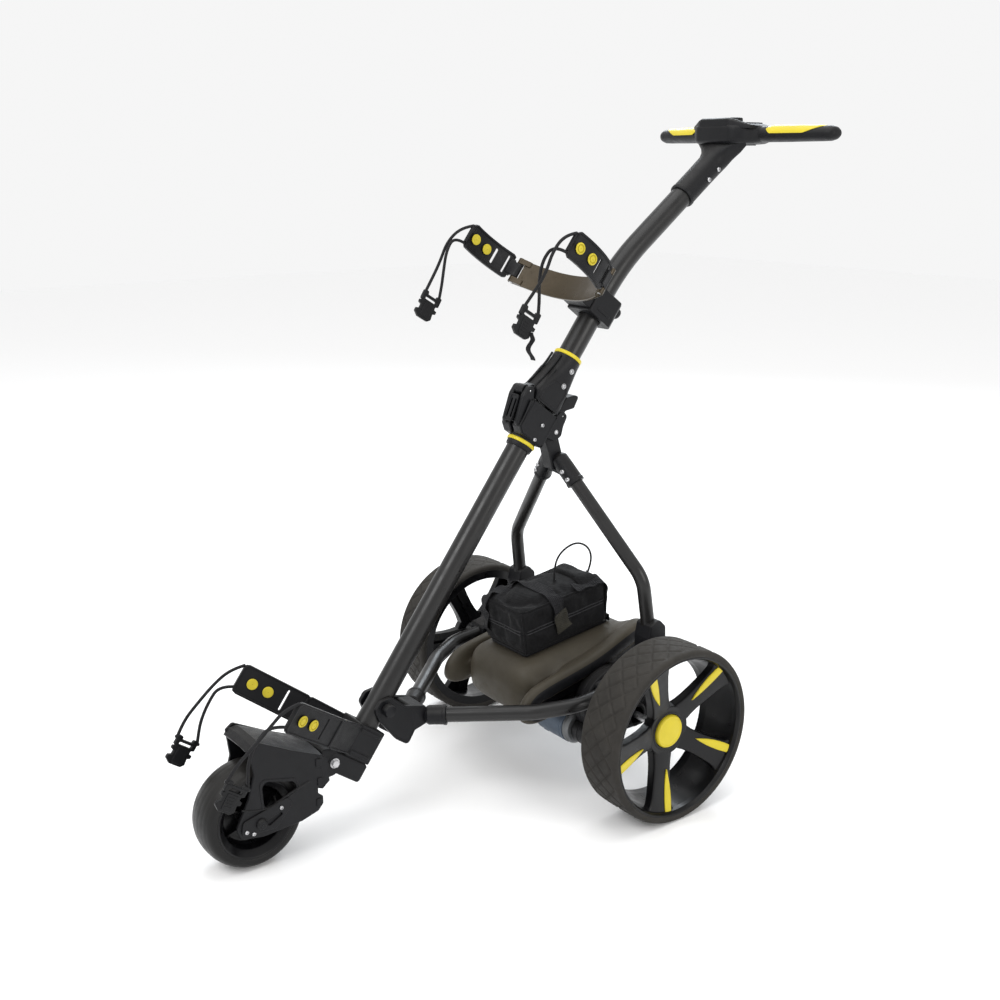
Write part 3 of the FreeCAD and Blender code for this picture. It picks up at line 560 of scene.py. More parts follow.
def swept(points, radius, steps=10, flat=1.0):
    """A tube with round ends along a line of points."""
    rings = []
    side = None
    count = len(points)
    for i, at in enumerate(points):
        way = (points[min(i + 1, count - 1)] - points[max(i - 1, 0)]).normalized()
        if side is None:
            side = way.orthogonal().normalized()
        side = (side - way * side.dot(way)).normalized()
        over = way.cross(side)
        rings.append([at + (side * math.cos(2 * math.pi * k / steps)
                            + over * math.sin(2 * math.pi * k / steps) * flat) * radius
                      for k in range(steps)])
    return loft(rings)


camera()
studio()


# ---------------------------------------------------------------- cords
CORD_R = 2.5
LEAD_R = 1.75
UPPER_A = [(131, -88, 922), (133, -112, 920), (137, -138, 898), (138, -152, 866), (134, -172, 838),
           (131, -186, 820)]
UPPER_B = [(131, -108, 895), (129, -130, 906), (125, -148, 884), (125, -154, 852), (129, -156, 824),
           (131, -160, 804)]
LOWER_A = [(88, -556, 276), (90, -580, 274), (94, -606, 256), (94, -634, 232), (91, -660, 210),
           (88, -672, 190)]
LOWER_B = [(88, -578, 246), (86, -602, 254), (82, -622, 234), (82, -636, 208), (86, -640, 184),
           (88, -642, 168)]
LEAD = [(14, 46, 330), (16, 56, 352), (16, 48, 380), (14, 20, 394), (10, -12, 380), (8, -24, 352),
        (8, -22, 326)]


def soft_line(name, route, radius, body, replaces):
    """A cord as one smooth spline steered by its route's points."""
    curve = bpy.data.curves.new(name, "CURVE")
    curve.dimensions = "3D"
    curve.bevel_depth = radius * MM
    curve.bevel_resolution = 4
    curve.use_fill_caps = True
    spline = curve.splines.new("NURBS")
    spline.points.add(len(route) - 1)
    for point, at in zip(spline.points, route):
        point.co = (*row_point(*at), 1)
    spline.order_u = 3
    spline.use_endpoint_u = True
    spline.resolution_u = 16
    curve.materials.append(LOOK["cord_rubber"])
    obj = bpy.data.objects.new(name, curve)
    bpy.context.scene.collection.objects.link(obj)
    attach(obj, body)
    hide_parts(replaces)
    return obj


def knot(at, radius):
    """A cord end wrapped round an eye: a short fat coil."""
    profile = [(-2.6, 0), (-2.6, radius * 0.8), (-1.6, radius * 1.45), (0, radius * 1.6),
               (1.6, radius * 1.45), (2.6, radius * 0.8), (2.6, 0)]
    return Shape().add(lathe(profile, 20), aimed(at, (0, 0.3, 1)))


def buckle_shape(top_a, top_b):
    """A side-release hook hanging from two cord eyes: ears, bar, window, waist and prongs."""
    top_a, top_b = Vector(top_a), Vector(top_b)
    along = (top_b - top_a).normalized()
    down = along.cross(Vector((1, 0, 0)))
    if down.z > 0:
        down = -down
    place = Matrix.Translation((top_a + top_b) / 2) @ Matrix(
        ((0, 0, 1, 0), (along.y, down.y, 0, 0), (along.z, down.z, 0, 0), (0, 0, 0, 1)))
    ears = [(-18.5, -4, 2.5), (-10, -4, 2.5), (-9, 1), (9, 1), (10, -4, 2.5), (18.5, -4, 2.5)]
    body = [(18.5, 12, 2), (13.5, 13, 1), (13.5, 18, 1), (19, 19, 1), (19, 24, 1), (14, 26, 1),
            (15.5, 36, 3), (10, 41, 2), (-10, 41, 2), (-19, 35, 2), (-18.5, 29, 1), (-13, 27, 0.8),
            (-13, 21, 0.8), (-18.5, 19, 0.8), (-19, 14, 0.8), (-13.5, 13, 1), (-18.5, 12, 2)]
    window = oblong(-11.5, 11.5, 5.5, 9.5, 1.2, 3)
    shape = plate([rounded(ears + body, 1, 3), window], -3.2, 3.2, 1.0)
    shape.add(plate([rounded([(-10, 13), (10, 13), (8.5, 38), (-8.5, 38)], 2.5, 3)], 2.4, 4.2, 0.7))
    shape.add(plate([rounded([(-10, 13), (10, 13), (8.5, 38), (-8.5, 38)], 2.5, 3)], -4.2, -2.4, 0.7))
    shape.add(plate([oblong(-17, 17, 1.2, 4.4, 1.2, 3)], -4, 4, 0.8))
    for k in range(4):
        low = 17 + 4.6 * k
        rib = plate([oblong(-6, 6, low, low + 1.6, 0.6, 2)], 3.8, 4.8, 0.4)
        shape.add(rib)
    whole = Shape().add(shape, place)
    for at in (top_a, top_b):
        whole.add(knot(at, CORD_R))
    return whole


def webbing_tail(top_a, top_b):
    """The loose end of webbing that hangs from one hook in soft waves."""
    start = (Vector(top_a) + Vector(top_b)) / 2 + Vector((2, -2, -30))
    rings = []
    for k in range(19):
        drop = 2.3 * k
        wave = 3.2 * math.sin(drop * 0.19) * min(1, k / 5)
        at = start + Vector((wave * 0.6, wave, -drop))
        rings.append([at + Vector((u, v, 0)) for u, v in ((-5, -0.7), (0, -0.9), (5, -0.7), (5, 0.7),
                                                          (0, 0.5), (-5, 0.7))])
    return loft(rings)


def bungees():
    """The hooked cord loops of both supports, on both sides."""
    for level, first, second in (("upper", UPPER_A, UPPER_B), ("lower", LOWER_A, LOWER_B)):
        for side, sign in (("right", 1), ("left", -1)):
            body = f"{side}_arm" if level == "upper" else "chassis"
            node = f"bungee_upper_{side}" if level == "upper" else "bungees_lower"
            hook_node = f"buckle_upper_{side}" if level == "upper" else "buckles_lower"
            shape = buckle_shape(first[-1], second[-1])
            if sign < 0:
                shape = Shape().add(shape, MIRROR)
            if (level, side) == ("upper", "right"):
                made("hook_tail_right", webbing_tail(first[-1], second[-1]), AXLE, body, "black_plastic",
                     look="webbing")
            hook = made(f"hook_{level}_{side}", shape, AXLE, body, "black_plastic", [hook_node])
            for strand, route in (("a", first), ("b", second)):
                route = [(sign * x, y, z) for x, y, z in route]
                cord = soft_line(f"loop_{level}_{side}_{strand}", route, CORD_R, body, node)


bungees()
lead = soft_line("battery_lead_loop", LEAD, LEAD_R, "battery", "battery_lead")


# ---------------------------------------------------------------- rear wheels
WHEEL_R = 145.0
REAR_AXLE = AXLE @ shifted(0, 0, WHEEL_R)
WHEEL_IN, WHEEL_OUT = 224.0, 307.0
SPOKE_TURN = 22.0


def tread(cells_round=26, cells_across=2, steps=18, groove=1.9):
    """The rear tyre: a diamond tread cut by two families of slanting grooves."""
    radius, rim = WHEEL_R, 134.0
    flat_in, flat_out = WHEEL_IN + 8, WHEEL_OUT - 8
    across = cells_across * steps
    round_ = cells_round * steps
    profile = []
    for x, r in ((WHEEL_IN + 4, rim - 3), (WHEEL_IN + 1, rim), (WHEEL_IN, rim + 2.5), (WHEEL_IN, rim + 5),
                 (WHEEL_IN + 1, rim + 7.6), (WHEEL_IN + 3, rim + 9.3), (WHEEL_IN + 5.4, rim + 10.3)):
        profile.append((x, r, 0))
    for k in range(across + 1):
        share = k / across
        crown = 0.6 * (2 * share - 1) ** 2
        profile.append((flat_in + (flat_out - flat_in) * share, radius - crown, k))
    for x, r, _ in profile[6::-1]:
        profile.append((WHEEL_IN + WHEEL_OUT - x, r, 0))
    first = 7
    count = len(profile)
    verts, faces = [], []
    for j in range(round_):
        a = 2 * math.pi * j / round_
        for i, (x, r, k) in enumerate(profile):
            if first <= i <= first + across:
                near = min((j + k) % steps, -(j + k) % steps, (j - k) % steps, -(j - k) % steps)
                edge = min(1.0, (i - first + 1) / 3, (first + across - i + 1) / 3)
                if near == 0:
                    r -= groove * edge
                elif near == 1:
                    r -= groove * 0.55 * edge
            verts.append((x, -r * math.sin(a), r * math.cos(a)))
    for j in range(round_):
        here, there = j * count, (j + 1) % round_ * count
        for i in range(count - 1):
            faces.append((here + i, here + i + 1, there + i + 1, there + i))
    return Shape(verts, faces)


def dish_face(radius):
    """How far out the dished face of the spokes stands at a radius."""
    return 272 + 0.255 * (radius - 31)


def polar(x, radius, sideways, turn):
    """A point on the wheel: sideways and outwards from the hub along a spoke."""
    a = math.radians(turn)
    return (x, sideways * math.cos(a) - radius * math.sin(a), sideways * math.sin(a) + radius * math.cos(a))


def spoke(turn):
    """One broad spoke: crowned face, rounded shoulders, deep sides and a flare at the rim."""
    rings = []
    for radius, half, deep in ((26, 19, 17), (34, 20.5, 18), (40, 20, 17.5), (48, 18.6, 17), (60, 18, 16.5),
                               (74, 18.6, 16), (90, 20, 15.5), (106, 21.6, 15), (118, 24.5, 14.5),
                               (125, 29, 14), (130, 36, 13)):
        face = dish_face(radius)
        ring = []
        for side, drop in ((-1, deep), (-1, 4.2), (-0.985, 2.2), (-0.93, 0.9), (-0.85, 0.25), (-0.5, -0.15),
                           (0, -0.3), (0.5, -0.15), (0.85, 0.25), (0.93, 0.9), (0.985, 2.2), (1, 4.2),
                           (1, deep)):
            ring.append(polar(face - drop, radius, side * half, turn))
        rings.append(ring)
    return loft(rings)


def insert(turn):
    """A coloured crescent set into the spoke's face, with a rounded top and a thin border."""
    inner = ((62, -6.5), (72, -5.0), (84, -4.3), (96, -4.3), (108, -4.9), (119, -6.0), (127.5, -7.2))
    outer = ((62, -6.9), (72, -10.7), (84, -14.6), (96, -17.4), (108, -19.3), (119, -20.3), (127.5, -20.6))
    rings = []
    for (radius, low), (_, high) in zip(inner, outer):
        middle = (low + high) / 2
        ring = []
        for share, rise in ((-1, -2), (-1, 1.2), (-0.86, 2.0), (-0.5, 2.45), (0, 2.6), (0.5, 2.45),
                            (0.86, 2.0), (1, 1.2), (1, -2)):
            ring.append(polar(dish_face(radius) + rise, radius, middle + (high - low) / 2 * share, turn))
        rings.append(ring)
    return loft(rings)


def rim_shape():
    """The dished rim: lip, barrel, five spokes and the hub."""
    barrel = rounded([(227, 118, 1), (226, 134, 1.5), (229, 135.2, 1), (231, 133.6, 1), (300, 133.6, 1),
                      (302, 135.4, 1), (305.6, 134, 2), (305.8, 130.5, 2), (300, 127.6, 3), (292, 126.8, 2),
                      (262, 122, 4), (242, 118.5, 3)], 1, 3)
    shape = lathe(barrel, 144, True)
    hub = rounded([(236, 6, 0), (236, 19, 2), (247, 25, 6), (256, 31.5, 5), (270, 33.4, 2),
                   (273.8, 32, 1.5), (273.6, 28.6, 0.8), (271, 27.9, 0.8), (270, 6, 0)], 1, 3)
    shape.add(lathe(hub, 72, True))
    web = rounded([(256, 28, 1), (272.4, 28, 0.6), (dish_face(41) - 0.4, 41, 1.6), (258, 44, 2)], 1, 3)
    shape.add(lathe(web, 72, True))
    for k in range(5):
        turn = SPOKE_TURN + 72 * k
        shape.add(spoke(turn))
        rib = loft([[polar(dish_face(r) - d, r, s, turn) for d, s in ((15, -3), (26 - r * 0.05, -2),
                                                                      (26 - r * 0.05, 2),
                                                                      (15, 3))] for r in (28, 60, 90, 121)])
        shape.add(rib)
    return shape


def hub_cap():
    """A low dome with a raised border and a plain sunk disc."""
    profile = rounded([(270, 0, 0), (270, 27.4, 0), (275.4, 27.4, 1.6), (278, 25.8, 1.4), (278.3, 24, 0.8),
                       (277.3, 22.6, 0.8), (277.8, 12, 8), (278.9, 0, 0)], 1, 4)
    return lathe(profile, 96)


def rear_wheels():
    body = "rear_wheels"
    sided("rear_tyre", tread(), REAR_AXLE, body, "tyre_rubber", ["rear_tyres"], sharp=60, weighted=False)
    sided("rear_rim", rim_shape(), REAR_AXLE, body, "rim_plastic", ["rear_rims"], sharp=40)
    inserts = Shape()
    for k in range(5):
        inserts.add(insert(SPOKE_TURN + 72 * k))
    sided("spoke_insert_set", inserts, REAR_AXLE, body, "yellow_trim", ["spoke_inserts"])
    sided("hub_cap", hub_cap(), REAR_AXLE, body, "yellow_trim", ["hub_caps"])


rear_wheels()


# ---------------------------------------------------------------- front wheel
FRONT_AXLE = AXLE @ shifted(0, -605, 82)


def front_wheel():
    """A smooth round tyre with fine rings, on a glossy dished rim."""
    profile = [(-30, 60), (-32, 62.6), (-33, 65)]
    steps = 46
    for k in range(steps + 1):
        a = math.pi * k / steps
        x = -33 * math.cos(a)
        r = 66.5 + 15.5 * math.sin(a) ** 0.72
        ring = 0.28 if k % 5 == 0 and 6 < k < steps - 6 else 0
        profile.append((x, r - ring))
    profile += [(33, 65), (32, 62.6), (30, 60)]
    made("front_tyre_ring", lathe(profile, 160), FRONT_AXLE, "front_wheel", "tyre_rubber", ["front_tyre"],
         sharp=50, look="front_rubber")
    half = [(4.5, 20), (4.5, 44, 5), (10, 48.5, 4), (23, 50, 3), (29, 56.5, 2), (32, 59.5, 1), (33, 62, 1),
            (31.4, 64, 1)]
    outline = rounded([(-x, *rest) for x, *rest in half[::-1]] + [(0, 20, 0)] + half + [(0, 59, 0)], 1, 4)
    shape = lathe(outline, 120, True)
    hub = rounded([(-27, 13, 1), (-27, 18, 2), (-10, 21, 4), (10, 21, 4), (27, 18, 2), (27, 13, 1)], 1, 3)
    shape.add(lathe(hub, 60, True))
    for k in range(6):
        for side in (-1, 1):
            place = turned("X", 60 * k)
            rib = loft([[(side * 3, -2, 19), (side * 22, -1.6, 19), (side * 22, 1.6, 19),
                         (side * 3, 2, 19)], [(side * 3, -2, 48), (side * 12, -1.6, 48),
                                              (side * 12, 1.6, 48), (side * 3, 2, 48)]])
            shape.add(rib, place)
    made("front_rim_disc", shape, FRONT_AXLE, "front_wheel", "rim_plastic", ["front_rim"])


front_wheel()


# ---------------------------------------------------------------- hood
HOOD_WALL = 2.0
OUTER_SIDE = 104.0
HOOD_SPINE = (Vector((-108, 158)), Vector((72, 172)))
HUMP = [(-118, 132), (-136, 132), (-152, 142), (-153, 188), (-136, 220), (-100, 227), (-60, 232),
        (-10, 239), (60, 248), (92, 247), (106, 216), (108, 164)]
FIN = [(-118, 138), (-150, 134), (-174, 146), (-173, 170), (-155, 193), (-122, 205), (-70, 215),
       (-10, 229), (56, 256), (90, 267), (112, 250), (118, 170)]
VALLEY_FADE = (-128, -62)


def sunk(point, depth):
    """A point of a side outline moved towards the hood's inner spine."""
    head, tail = HOOD_SPINE
    run = tail - head
    share = max(0.0, min(1.0, (point - head).dot(run) / run.length_squared))
    inward = head + run * share - point
    return point + inward.normalized() * min(depth, inward.length * 0.96)


def hood():
    """One moulding: the bulging dome, the side channels that fade rearwards, and the rims."""
    dome = [(0, 0), (24, 0.3), (44, 1.4), (58, 3.8), (68, 7.5), (76, 13.5), (81, 20), (85, 27), (88.5, 30)]
    rim = [(91.5, 30), (93.5, 20), (95.5, 10), (98, 4.6), (101.5, 1.6), (106, 0.2), (110.5, 0.8),
           (114.5, 3.2), (117.5, 7.5), (119.4, 13), (120, 20), (119, 26), (116, 29), (111, 30), (106.5, 31),
           (105, 90)]
    hump = [Vector(p[:2]) for p in nurbs_points([(u, v, 0) for u, v in HUMP])]
    fin = [Vector(p[:2]) for p in nurbs_points([(u, v, 0) for u, v in FIN])]
    rings = []
    for middle, edge in zip(hump, fin):
        fade = 1 - 0.93 * smooth_step((edge.x - VALLEY_FADE[0]) / (VALLEY_FADE[1] - VALLEY_FADE[0]))
        half = []
        for x, depth in dome:
            share = smooth_step((x - 52) / 48) * (1 - fade) * 1.1
            y, z = sunk(middle.lerp(edge, min(1, share)), depth * fade)
            half.append((x, y, z))
        for x, depth in rim:
            y, z = sunk(edge, depth * fade if x < 105 and depth < 40 else depth)
            half.append((x, y, z))
        rings.append([(-x, y, z) for x, y, z in half[:0:-1]] + half)
    shell = loft(rings, close=False, caps=False)
    obj = made("hood_shell", shell, AXLE, "chassis", "hood_plastic", ["housing_cover", "side_fins"],
               sharp=70, weighted=False, subdivide=1)
    # The rims' outward-facing side walls take the darker moulding finish instead of the hood's brown: painted
    # shade on the shadowed sides.
    obj.data.materials.append(LOOK["moulding"])
    for face in obj.data.polygons:
        middle = AXLE.inverted() @ face.center
        face.material_index = int(abs(middle.x) > OUTER_SIDE and abs(face.normal.x) > 0.93)
    modifier = obj.modifiers.new("wall", "SOLIDIFY")
    modifier.thickness = HOOD_WALL * MM
    modifier.offset = -1


hood()


# ---------------------------------------------------------------- battery bag
BAG_GRID = 5.0
BAG_INSET = 3.5
BAG_DROOP = 4.0
ZIP_AT = -1.0


def bag_start():
    """A box with rounded edges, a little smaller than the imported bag."""
    hx, hy, hz = (size / 2 - BAG_INSET for size in BAG)
    work = bmesh.new()
    bmesh.ops.create_cube(work, size=2)
    for vert in work.verts:
        droop = BAG_DROOP if vert.co.z < 0 else 0
        vert.co = Vector((vert.co.x * hx, vert.co.y * hy, vert.co.z * hz - droop)) * MM
    bmesh.ops.bevel(work, geom=list(work.edges), offset=8 * MM, segments=3, affect="EDGES", profile=0.5)
    mesh = bpy.data.meshes.new("battery_cover")
    work.to_mesh(mesh)
    work.free()
    return mesh


def bag_body():
    """The woven case: its panels puff between the sewn edges and lie flat underneath."""
    mesh = bag_start()
    obj = bpy.data.objects.new("battery_cover", mesh)
    bpy.context.scene.collection.objects.link(obj)
    bpy.context.view_layer.objects.active = obj
    remesh = obj.modifiers.new("remesh", "REMESH")
    remesh.mode = "VOXEL"
    remesh.voxel_size = BAG_GRID * MM
    settle(obj)
    start = [v.co.copy() for v in obj.data.vertices]
    hx, hy, hz = (size / 2 - BAG_INSET for size in BAG)
    held = obj.vertex_groups.new(name="held")
    for vert in obj.data.vertices:
        near = [abs(abs(c / MM) - h) < 5.5 for c, h in zip(vert.co, (hx, hy, hz))]
        seam = sum(near) >= 2 or vert.co.z < -(hz - 3) * MM
        zip_line = abs(vert.co.z / MM - ZIP_AT) < 3 and (near[0] or near[1])
        held.add([vert.index], 1.0 if seam else 0.85 if zip_line else 0.0, "REPLACE")
    cloth = obj.modifiers.new("cloth", "CLOTH")
    settings = cloth.settings
    settings.quality = 6
    settings.mass = 0.3
    settings.use_pressure = True
    settings.uniform_pressure_force = 4.0
    settings.vertex_group_mass = "held"
    settings.pin_stiffness = 1.0
    settings.tension_stiffness = settings.compression_stiffness = 12
    settings.bending_stiffness = 1.5
    settings.shrink_min = -0.05
    settings.effector_weights.gravity = 0
    scene = bpy.context.scene
    for step in range(1, 21):
        scene.frame_set(step)
    settle(obj)
    scene.frame_set(1)
    most = 7 * MM
    for vert, first in zip(obj.data.vertices, start):
        moved = vert.co - first
        if moved.length > most:
            vert.co = first + moved.normalized() * most
        crease = noise.noise(Vector((vert.co.x * 22, vert.co.y * 16, vert.co.z * 30)))
        if vert.co.z > -0.03:
            vert.co += vert.co.normalized() * crease * 0.0012
    obj.data.transform(BATTERY @ Matrix.Scale(1 / MM, 4))
    obj.data.materials.clear()
    obj.data.materials.append(LOOK["bag_fabric"])
    obj.data.shade_smooth()
    modifier = obj.modifiers.new("smooth", "SUBSURF")
    modifier.levels = modifier.render_levels = 1
    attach(obj, "battery")
    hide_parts("battery_bag", "battery_pack")
    return obj


def settle(obj):
    """Applies an object's modifiers to its mesh."""
    graph = bpy.context.evaluated_depsgraph_get()
    mesh = bpy.data.meshes.new_from_object(obj.evaluated_get(graph))
    obj.modifiers.clear()
    obj.data = mesh


class Skin:
    """Finds the bag's surface from points in the bag's own frame."""

    def __init__(self, obj):
        mesh = obj.data
        self.tree = BVHTree.FromPolygons([v.co for v in mesh.vertices], [p.vertices for p in mesh.polygons])
        self.back = BATTERY.inverted()

    def at(self, point, lift):
        """The nearest surface point, lifted off it, and the way out; all in millimetres."""
        place, normal, _, _ = self.tree.find_nearest(BATTERY @ Vector(point))
        here = self.back @ place
        out = (self.back.to_3x3() @ normal).normalized()
        if out.dot(here) < 0:
            out = -out
        return here + out * lift, out


def resampled(points, gap):
    """The same broken line with points at an even spacing."""
    line = [Vector(p) for p in points]
    result = [line[0]]
    for a, b in zip(line, line[1:]):
        count = max(1, round((b - a).length / gap))
        result += [a.lerp(b, (k + 1) / count) for k in range(count)]
    return result


def strap(skin, route, width, thick=1.3, lift=0.7):
    """Webbing laid along a route on the bag, with rolled edges and a slight crown."""
    line = resampled(route, 4)
    placed = [skin.at(p, lift) for p in line]
    for _ in range(3):
        placed = [placed[0]] + [
            ((a[0] + b[0] * 2 + c[0]) / 4, (a[1] + b[1] * 2 + c[1]).normalized())
            for a, b, c in zip(placed, placed[1:], placed[2:])] + [placed[-1]]
    rings = []
    for i, (at, out) in enumerate(placed):
        way = (placed[min(i + 1, len(placed) - 1)][0] - placed[max(i - 1, 0)][0]).normalized()
        across = out.cross(way).normalized()
        ring = []
        for side, rise in ((-1, 0.1), (-1, 0.7), (-0.96, 1), (-0.8, 1), (-0.4, 1.08), (0, 1.12),
                           (0.4, 1.08), (0.8, 1), (0.96, 1), (1, 0.7), (1, 0.1), (0, -0.2)):
            ring.append(at + across * side * width / 2 + out * rise * thick)
        rings.append(ring)
    return loft(rings)


def bag_line(skin, route, radius, lift=0.3):
    """Piping or a zip cord laid on the bag's surface."""
    line = [skin.at(p, lift)[0] for p in resampled(route, 3.5)]
    for _ in range(2):
        line = [line[0]] + [(a + b * 2 + c) / 4 for a, b, c in zip(line, line[1:], line[2:])] + [line[-1]]
    return swept(line, radius, 8)


def belt(inset, z):
    """A closed route round the bag's four sides at one height."""
    hx, hy = BAG[0] / 2 - inset, BAG[1] / 2 - inset
    corner = 10
    points = []
    for x, y, start in ((hx, hy, 0), (-hx, hy, 90), (-hx, -hy, 180), (hx, -hy, 270)):
        cx, cy = math.copysign(abs(x) - corner, x), math.copysign(abs(y) - corner, y)
        for k in range(4):
            a = math.radians(start + 30 * k)
            points.append((cx + corner * math.cos(a), cy + corner * math.sin(a), z))
    return points + points[:1]


def sewn(name, shape, look="bag_fabric", **more):
    """A soft piece that moves with the battery."""
    return made(name, shape, BATTERY, "battery", "bag_fabric", look=look, **more)


def tray_pad():
    """The plate that the battery rests on, just inside the bag's outline, with its rear lip."""
    under = -BAG[2] / 2
    pad = plate([oblong(-50, 50, -88, 96, 8, 5)], under - 5.4, under - 0.8, 1.2)
    pad.add(plate([oblong(-50, 50, 97, 100, 1, 2)], under - 5, under + 7, 0.6))
    made("tray_pad", pad, BATTERY, "battery", "battery_case", ["battery_tray"], look="moulding")


def battery_bag():
    tray_pad()
    body = bag_body()
    skin = Skin(body)
    trim = Shape()
    top = BAG[2] / 2
    trim.add(bag_line(skin, belt(5, top - 4), 1.5))
    trim.add(bag_line(skin, belt(5, -0.5 - top), 1.4))
    for x in (-1, 1):
        for y in (-1, 1):
            trim.add(bag_line(skin, [(x * 57, y * 92, top - 4), (x * 57, y * 92, -top)], 1.4))
    cords = Shape()
    for gap in (-2.6, 2.6):
        cords.add(bag_line(skin, belt(4, ZIP_AT + gap), 0.9, 0.5))
    sewn("battery_zip_cords", cords, "zip_cord", weighted=False)
    sewn("battery_piping", trim, sharp=60, weighted=False)
    teeth = Shape()
    for at in resampled(belt(4, ZIP_AT), 2.4):
        here, out = skin.at(at, 0.35)
        tooth = loft([[Vector((u, v, w)) for u, v in ((-1.1, -0.5), (1.1, -0.5), (1.1, 0.5), (-1.1, 0.5))]
                      for w in (-0.4, 0.5)])
        turn = out.to_track_quat("Z", "Y").to_matrix().to_4x4()
        teeth.add(tooth, Matrix.Translation(here) @ turn)
    made("battery_zip", teeth, BATTERY, "battery", "black_plastic", weighted=False)

    straps = Shape()
    straps.add(strap(skin, [(-66, -16, -8), (-60, -16, 30), (-50, -16, 48), (0, -16, 48), (50, -16, 48),
                            (62, -15.5, 30), (66, -13, -6)], 28))
    straps.add(strap(skin, [(-49, -100, -22), (-49, -97, 26), (-49, -84, 46), (-49, -30, 46)], 25, 1.1))
    straps.add(strap(skin, [(49, 30, 46), (49, 84, 46), (49, 97, 26), (49, 100, -22)], 25, 1.1))
    sewn("battery_straps", straps, "webbing", sharp=50)
    patch = strap(skin, [(62, -14, 15), (64, -12.6, 2), (65, -11, -10), (65, -10, -18)], 31, 1.6, 1.9)
    sewn("battery_strap_end", patch, "strap_end", sharp=50)

    rings = []
    for y, rise in ((48, -4), (49, 3.2), (54, 6.6), (64, 8.2), (78, 8.0), (88, 6.2), (93, 1.5), (94, -5)):
        ring = []
        for k in range(17):
            share = -1 + k / 8
            x = 54 * share
            edge = 1 - abs(share) ** 6
            at = skin.at((x, y, 46), 0)[0]
            sag = 0.6 * math.sin(x * 0.13 + y * 0.2)
            ring.append((at.x, at.y, max(at.z, top - 7) + (rise + sag) * edge - (1 - edge) * 1.5))
        rings.append(ring + [(50 * (1 - k / 4), y, top - 8) for k in range(1, 8)])
    pad = sewn("battery_flap", loft(rings), subdivide=1, weighted=False, sharp=60)
    stitches = Shape()
    for y in (52, 90):
        for k in range(20):
            x = -49 + 5.15 * k
            at = skin.at((x, y, 46), 0)[0]
            height = max(at.z, top - 7) + (6.0 if y == 52 else 5.4)
            stitches.add(swept([Vector((x - 1.5, y, height)), Vector((x, y, height + 0.5)),
                                Vector((x + 1.5, y, height))], 0.4, 6))
    sewn("battery_stitches", stitches, "webbing", weighted=False)
    eyes = Shape()
    for at in (LEAD[0], LEAD[-1]):
        sleeve = lathe([(-12, 0.5), (-12, 3.4), (-4, 3.2), (2, 2.6), (6, 2.1), (6, 0.5)], 20)
        eyes.add(sleeve, aimed(at, (0.05, 0.2, 1)))
    made("battery_lead_sleeves", eyes, AXLE, "battery", "cord_rubber")


battery_bag()


